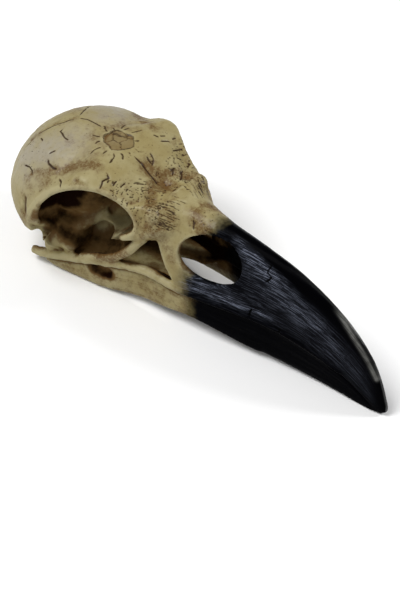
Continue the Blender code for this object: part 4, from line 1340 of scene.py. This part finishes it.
# %% Delete crumbs
def largest_body_only(thing):
    """Delete every body of a mesh but its largest, and say how many were deleted."""
    mesh = thing.data
    ends = np.empty(2 * len(mesh.edges), np.int64)
    mesh.edges.foreach_get("vertices", ends)
    first, second = ends.reshape(-1, 2).T
    label = np.arange(len(mesh.vertices))
    while True:
        lowest = label.copy()
        np.minimum.at(lowest, first, label[second])
        np.minimum.at(lowest, second, label[first])
        lowest = lowest[lowest]
        if np.array_equal(lowest, label):
            break
        label = lowest
    names, counts = np.unique(label, return_counts=True)
    if len(names) > 1:
        keep = names[np.argmax(counts)]
        bm = bmesh.new()
        bm.from_mesh(mesh)
        bm.verts.ensure_lookup_table()
        crumbs = [bm.verts[i] for i in np.nonzero(label != keep)[0]]
        bmesh.ops.delete(bm, geom=crumbs, context="VERTS")
        bm.to_mesh(mesh)
        bm.free()
    return len(names) - 1


for name, piece in pieces.items():
    print(name, "crumbs:", largest_body_only(piece))

# %% Carry the masks and normals of the whole skin to each piece
def carry(thing, tree, masks, normals):
    """Give a piece the masks and the smooth normals of the nearest corners of the skin."""
    mesh = thing.data
    nearest = np.array([tree.find(v.co)[1] for v in mesh.vertices])
    for name, values in masks.items():
        flat = values.ndim == 1
        layer = mesh.attributes.new(name, "FLOAT" if flat else "FLOAT_VECTOR", "POINT")
        layer.data.foreach_set("value" if flat else "vector",
                               values[nearest].astype(np.float32).ravel())
    mesh.shade_smooth()
    loop_vertex = np.empty(len(mesh.loops), np.int64)
    mesh.loops.foreach_get("vertex_index", loop_vertex)
    wanted = normals[nearest][loop_vertex]
    for face in mesh.polygons:
        if face.material_index > 0:                # a flat cut, which the skin never had
            wanted[face.loop_start:face.loop_start + face.loop_total] = face.normal
    mesh.normals_split_custom_set(wanted.tolist())


tree = search_tree([v.co for v in skin.data.vertices])
normals = read_rows(skin.data.vertex_normals, "vector")
masks = {"crack": crack, "shade_and_wash": shade_and_wash, "ridge": ridge, "edge": edge, "stain": stain,
         "black": black, "brush_and_sheen": brush_and_sheen, "chip": chip, "grey": grey, "flow": flow,
         "gloss": gloss, "crest_highlight": crest_highlight}
for piece in pieces.values():
    carry(piece, tree, masks, normals)
print("Masks on each piece:", ", ".join(masks))

# %% [markdown]
# ## Setting the skull down
# The casting was made round the origin. It moves to the CAD model's box, and shrinks by a
# hair where the relief stands out past that box, so that the sizes stay the CAD model's.

# %% Set the casting into the CAD model's box
low, high = np.array(cad_box[0]), np.array(cad_box[1])
corners = read_rows(skin.data.vertices, "co")
skin_low, skin_high = corners.min(axis=0), corners.max(axis=0)
bpy.data.objects.remove(skin)
scale = np.minimum((high - low) / (skin_high - skin_low), 1.0)
shift = (low + high) / 2 - scale * (skin_low + skin_high) / 2
shift[2] = low[2] - scale[2] * skin_low[2]
fit = Matrix.Translation(Vector(shift)) @ Matrix.Diagonal((*scale, 1))
for piece in pieces.values():
    piece.data.transform(fit)
print("Shrunk to", scale.round(4), "moved by", (shift / MM).round(2), "mm")

# %% [markdown]
# ## Paint, as node groups
# The bone paint and the black paint both appear on several pieces, so each is a node group
# with its masks as inputs. A mask is a number from 0 to 1 stored on the skin, and noise in
# the object's own coordinates breaks up its border. The groups give out colours, roughness
# and heights only. The Principled shader itself stays in the material.

# %% Helpers for node trees
def node(tree, kind, **settings):
    """New node with its settings."""
    new = tree.nodes.new(kind)
    for name, value in settings.items():
        setattr(new, name, value)
    return new


def feed(tree, socket, value):
    """Link an output to a socket, or set the socket to a number or a colour."""
    if isinstance(value, bpy.types.NodeSocket):
        tree.links.new(value, socket)
    else:
        socket.default_value = (*value, 1) if isinstance(value, tuple) else value


def plus(tree, first, second, operation="ADD", clamp=False):
    """Sum of two values, each a number or an output."""
    new = node(tree, "ShaderNodeMath", operation=operation, use_clamp=clamp)
    feed(tree, new.inputs[0], first)
    feed(tree, new.inputs[1], second)
    return new.outputs[0]


def times(tree, first, second, clamp=False):
    """Product of two values, each a number or an output."""
    return plus(tree, first, second, "MULTIPLY", clamp)


def ramp_node(tree, value, low, high):
    """0 below low, 1 above high."""
    new = node(tree, "ShaderNodeMapRange", interpolation_type="SMOOTHSTEP")
    tree.links.new(value, new.inputs["Value"])
    new.inputs["From Min"].default_value = low
    new.inputs["From Max"].default_value = high
    return new.outputs["Result"]


def mix_colour(tree, share, first, second):
    """First colour where the share is 0, second colour where it is 1."""
    new = node(tree, "ShaderNodeMix", data_type="RGBA")
    colours = [socket for socket in new.inputs if socket.type == "RGBA"]
    for socket, value in zip((new.inputs["Factor"], *colours), (share, first, second)):
        feed(tree, socket, value)
    return next(socket for socket in new.outputs if socket.type == "RGBA")


def glaze(tree, colour, share, low, high, strength, paint):
    """Paint laid over a colour where a share rises from low to high."""
    return mix_colour(tree, times(tree, ramp_node(tree, share, low, high), strength), colour, paint)


def noise_node(tree, where, size_mm, detail=3.0, roughness=0.6):
    """Noise of a given grain size, from 0 to 1."""
    new = node(tree, "ShaderNodeTexNoise")
    tree.links.new(where, new.inputs["Vector"])
    new.inputs["Scale"].default_value = 1 / (size_mm * MM)
    new.inputs["Detail"].default_value = detail
    new.inputs["Roughness"].default_value = roughness
    return new.outputs["Fac"]


def new_group(name, vectors, masks, outputs):
    """Node group with vector and mask inputs, and outputs given as (name, socket type)."""
    tree = bpy.data.node_groups.new(name, "ShaderNodeTree")
    for socket in vectors:
        tree.interface.new_socket(socket, in_out="INPUT", socket_type="NodeSocketVector")
    for socket in masks:
        tree.interface.new_socket(socket, in_out="INPUT", socket_type="NodeSocketFloat")
    for socket, kind in outputs:
        tree.interface.new_socket(socket, in_out="OUTPUT", socket_type=kind)
    return tree, tree.nodes.new("NodeGroupInput").outputs, tree.nodes.new("NodeGroupOutput").inputs


def input_names(group):
    """Names of the inputs of a node group."""
    return [item.name for item in group.interface.items_tree if item.in_out == "INPUT"]


print("Node helpers ready")

# %% Aged bone paint
CREAM = (0.300, 0.258, 0.130)
CREAM_WARM = (0.255, 0.208, 0.090)
GREYISH_SHEEN = (0.300, 0.270, 0.200)
WASH = (0.104, 0.054, 0.017)              # thin brown
THICK_WASH_AND_SHADE = (0.0065, 0.0020, 0.0006)           # the thickest wash and near-black painted shade, in the deepest hollows
LINE = (0.030, 0.015, 0.007)              # inside a crack
HIGHLIGHT = (0.370, 0.330, 0.190)         # on edges that stick out


def bone_group():
    """Cream paint, brown wash and painted shade in hollows, stains, dark cracks and pale edges."""
    tree, into, out = new_group("aged_bone_paint", ("Place",),
                                ("Hollow", "Ridge", "Edge", "Crack", "Stain", "Chip", "Grey"),
                                (("Color", "NodeSocketColor"), ("Roughness", "NodeSocketFloat")))
    broad = noise_node(tree, into["Place"], 14, 4)
    fine = noise_node(tree, into["Place"], 1.6, 4, 0.7)
    tiny = noise_node(tree, into["Place"], 0.7, 3, 0.7)
    colour = mix_colour(tree, ramp_node(tree, broad, 0.35, 0.65), CREAM, CREAM_WARM)
    # greyish painted sheen
    colour = mix_colour(tree, into["Grey"], colour, GREYISH_SHEEN)
    colour = glaze(tree, colour, fine, 0.52, 0.75, 0.35, WASH)
    colour = glaze(tree, colour, into["Edge"], 0.15, 0.8, 0.55, HIGHLIGHT)
    broken_up = plus(tree, times(tree, tiny, 0.9), fine)
    patchy = times(tree, into["Stain"], ramp_node(tree, broken_up, 0.72, 1.15), clamp=True)
    stained = plus(tree, times(tree, into["Stain"], 0.38), patchy, clamp=True)
    colour = mix_colour(tree, times(tree, stained, 0.85), colour, WASH)
    colour = glaze(tree, colour, times(tree, into["Edge"], -1.0), 0.1, 0.9, 0.75, WASH)
    colour = glaze(tree, colour, times(tree, into["Ridge"], -1.0), 0.25, 1.0, 0.6, WASH)
    # brown wash in hollows, and near-black painted shade where they are deepest
    patchy_shade_and_wash = plus(tree, into["Hollow"], times(tree, fine, 0.16))
    colour = glaze(tree, colour, patchy_shade_and_wash, 0.22, 0.48, 0.92, WASH)
    colour = mix_colour(tree, ramp_node(tree, patchy_shade_and_wash, 0.46, 0.82), colour, THICK_WASH_AND_SHADE)
    colour = mix_colour(tree, times(tree, into["Chip"], 0.50), colour, WASH)
    colour = glaze(tree, colour, into["Crack"], 0.30, 0.80, 0.92, LINE)
    tree.links.new(colour, out["Color"])
    tree.links.new(plus(tree, times(tree, fine, 0.25), 0.36), out["Roughness"])
    return tree


BONE_PAINT = bone_group()
print("Bone paint inputs:", input_names(BONE_PAINT))

# %% Black bill paint, blue-grey from dry brush and painted sheen, pale painted highlight
BLACK = (0.0007, 0.0007, 0.0011)
# blue-grey of the dry brush and of painted sheen
BRUSH_AND_SHEEN_BLUE = (0.270, 0.300, 0.390)
# pale painted highlight on the crest
PALE_HIGHLIGHT = (0.42, 0.42, 0.39)
CREVICE = (0.001, 0.001, 0.001)


def black_group():
    """Black paint with blue-grey bristle marks and painted sheen along the grain, and a pale
    painted highlight on the crest.
    """
    tree, into, out = new_group("black_bill_paint", ("Place", "Flow"), ("Streak", "Worn", "Crack"),
                                (("Color", "NodeSocketColor"), ("Roughness", "NodeSocketFloat"),
                                 ("Height", "NodeSocketFloat")))
    fine = noise_node(tree, into["Place"], 1.1, 4, 0.7)
    hair = noise_node(tree, into["Flow"], 1.0, 4, 0.65)
    # blue-grey bristle marks: dry brush and painted sheen
    bristle = times(tree, ramp_node(tree, hair, 0.48, 0.62), into["Streak"])
    haze = times(tree, into["Streak"], 0.07)
    broken = plus(tree, times(tree, fine, 0.9), 0.15)
    brush_and_sheen = times(tree, plus(tree, bristle, haze), broken, clamp=True)
    colour = mix_colour(tree, brush_and_sheen, BLACK, BRUSH_AND_SHEEN_BLUE)
    # pale painted highlight on the crest, broken up by the bristle noise
    broken_up = times(tree, into["Worn"], ramp_node(tree, hair, 0.30, 0.60), clamp=True)
    colour = mix_colour(tree, broken_up, colour, PALE_HIGHLIGHT)
    colour = mix_colour(tree, ramp_node(tree, into["Crack"], 0.3, 0.8), colour, CREVICE)
    tree.links.new(colour, out["Color"])
    tree.links.new(plus(tree, times(tree, brush_and_sheen, 0.22), 0.30), out["Roughness"])
    tree.links.new(hair, out["Height"])
    return tree


BLACK_PAINT = black_group()
print("Black paint inputs:", input_names(BLACK_PAINT))

# %% The painted resin material
SPECULAR = 0.006              # the paint is matt
COAT_ROUGHNESS = 0.28
TEXTURE_STRENGTH = 0.35
TEXTURE_DEPTH = 0.25 * MM


def mask(tree, name, output="Fac"):
    """A mask stored on the skin: a number, or with the output Vector three numbers."""
    new = node(tree, "ShaderNodeAttribute", attribute_name=name)
    return new.outputs[output]


def use_group(tree, group, **inputs):
    """Outputs of a paint group fed with the given outputs."""
    new = node(tree, "ShaderNodeGroup", node_tree=group)
    for name, source in inputs.items():
        tree.links.new(source, new.inputs[name])
    return new.outputs


def mix_value(tree, share, first, second):
    """First value where the share is 0, second value where it is 1."""
    new = node(tree, "ShaderNodeMix", data_type="FLOAT")
    for socket, value in zip(new.inputs[:1] + new.inputs[2:4], (share, first, second)):
        tree.links.new(value, socket)
    return new.outputs[0]


def painted_resin(name):
    """Bone paint and black paint, mixed by the black mask, over fine casting texture."""
    material = bpy.data.materials.new(name)
    material.use_nodes = True
    tree = material.node_tree
    shader = tree.nodes["Principled BSDF"]
    shader.inputs["Specular IOR Level"].default_value = SPECULAR
    shader.inputs["Coat Roughness"].default_value = COAT_ROUGHNESS
    where = node(tree, "ShaderNodeTexCoord").outputs["Object"]
    crack_mask, share = mask(tree, "crack"), mask(tree, "black")
    bone = use_group(tree, BONE_PAINT, Place=where, Hollow=mask(tree, "shade_and_wash"),
                     Ridge=mask(tree, "ridge"), Edge=mask(tree, "edge"), Crack=crack_mask,
                     Stain=mask(tree, "stain"), Chip=mask(tree, "chip"), Grey=mask(tree, "grey"))
    black = use_group(tree, BLACK_PAINT, Place=where, Flow=mask(tree, "flow", "Vector"),
                      Streak=mask(tree, "brush_and_sheen"), Worn=mask(tree, "crest_highlight"), Crack=crack_mask)
    colour = mix_colour(tree, share, bone["Color"], black["Color"])
    tree.links.new(colour, shader.inputs["Base Color"])
    rough = mix_value(tree, share, bone["Roughness"], black["Roughness"])
    tree.links.new(rough, shader.inputs["Roughness"])
    tree.links.new(mask(tree, "gloss"), shader.inputs["Coat Weight"])
    grain = plus(tree, noise_node(tree, where, 0.9, 4, 0.7),
                 times(tree, noise_node(tree, where, 0.35, 3), 0.4))
    bump = node(tree, "ShaderNodeBump")
    bump.inputs["Strength"].default_value = TEXTURE_STRENGTH
    bump.inputs["Distance"].default_value = TEXTURE_DEPTH
    tree.links.new(mix_value(tree, share, grain, black["Height"]), bump.inputs["Height"])
    tree.links.new(bump.outputs["Normal"], shader.inputs["Normal"])
    return material


BONE_RESIN = painted_resin("painted_bone_resin")
BLACK_RESIN = painted_resin("painted_black_resin")
BLACK_PIECES = ("upper_bill", "jaw_front")
for name, piece in pieces.items():
    dark = name in BLACK_PIECES
    piece.data.materials.clear()
    piece.data.materials.append(BLACK_RESIN if dark else BONE_RESIN)
    piece.data.materials.append(INSIDE)
    piece.name = "cast_" + name
    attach(piece, "root")
    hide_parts("cranium" if name.startswith("cranium") else name)
print("Painted", len(pieces), "pieces")

# %% [markdown]
# ## Floor, light and camera
# The ornament lies on a plain pale floor in soft studio light. The large key lamp hangs high
# over the right side, towards the back of the head. A small lamp at the left front draws the
# bright edge on the culmen, and a faint, large one fills the shadows from the right front.
# The camera looks down from the animal's right front with a long lens, as in a catalogue.

# %% Floor
bm = bmesh.new()
bmesh.ops.create_grid(bm, x_segments=1, y_segments=1, size=4.0)
floor = mesh_of(bm, "studio_floor")
floor.data.materials.append(plain_material("pale_floor", (0.93, 0.93, 0.93), 0.9))
print("Floor", tuple(round(v, 1) for v in floor.dimensions), "m")

# %% Lights
def lamp(name, spot, aim, size, power):
    """Round area lamp aimed at a place."""
    light = bpy.data.lights.new(name, "AREA")
    light.shape = "DISK"
    light.size = size
    light.energy = power
    thing = new_object(name, light)
    thing.location = spot
    thing.rotation_euler = (Vector(spot) - Vector(aim)).to_track_quat("Z", "Y").to_euler()


LAMPS = (                     # name, place, place aimed at, size in metres, power in watts
    ("key_lamp", (-0.40, -0.50, 1.20), (0, 0, 0.03), 0.8, 15),
    ("rim_lamp", (0.75, 0.75, 0.75), (0.05, 0, 0.03), 0.3, 7),
    ("fill_lamp", (0.35, -1.1, 0.7), (0, 0, 0.03), 0.9, 1.5))
for settings in LAMPS:
    lamp(*settings)
world = bpy.data.worlds.new("studio")
world.use_nodes = True
sky = world.node_tree.nodes["Background"]
sky.inputs["Color"].default_value = (1, 1, 1, 1)
sky.inputs["Strength"].default_value = 0.34
bpy.context.scene.world = world
bpy.context.scene.view_settings.view_transform = "Standard"
print("Lamps:", [settings[0] for settings in LAMPS])

# %% Camera: its place in metres, and the ways its right, top and back point
CAMERA_SPOT = (0.51694, -0.57758, 0.71330)
CAMERA_RIGHT = (0.743145, 0.669131, 0.0)
CAMERA_UP = (-0.452058, 0.502061, 0.737277)
CAMERA_BACK = (0.493334, -0.547904, 0.675590)
FOCAL_LENGTH, SENSOR_WIDTH = 207.9, 36.0      # millimetres
lens = bpy.data.cameras.new("camera")
lens.lens = FOCAL_LENGTH
lens.sensor_width = SENSOR_WIDTH
lens.sensor_fit = "HORIZONTAL"
camera = new_object("camera", lens)
axes = Matrix((CAMERA_RIGHT, CAMERA_UP, CAMERA_BACK)).transposed()
camera.matrix_world = Matrix.Translation(CAMERA_SPOT) @ axes.to_4x4()
bpy.context.scene.camera = camera
print("Camera at", CAMERA_SPOT, "m")

# %% Sizes and finish
print("CAD box", cad_box)
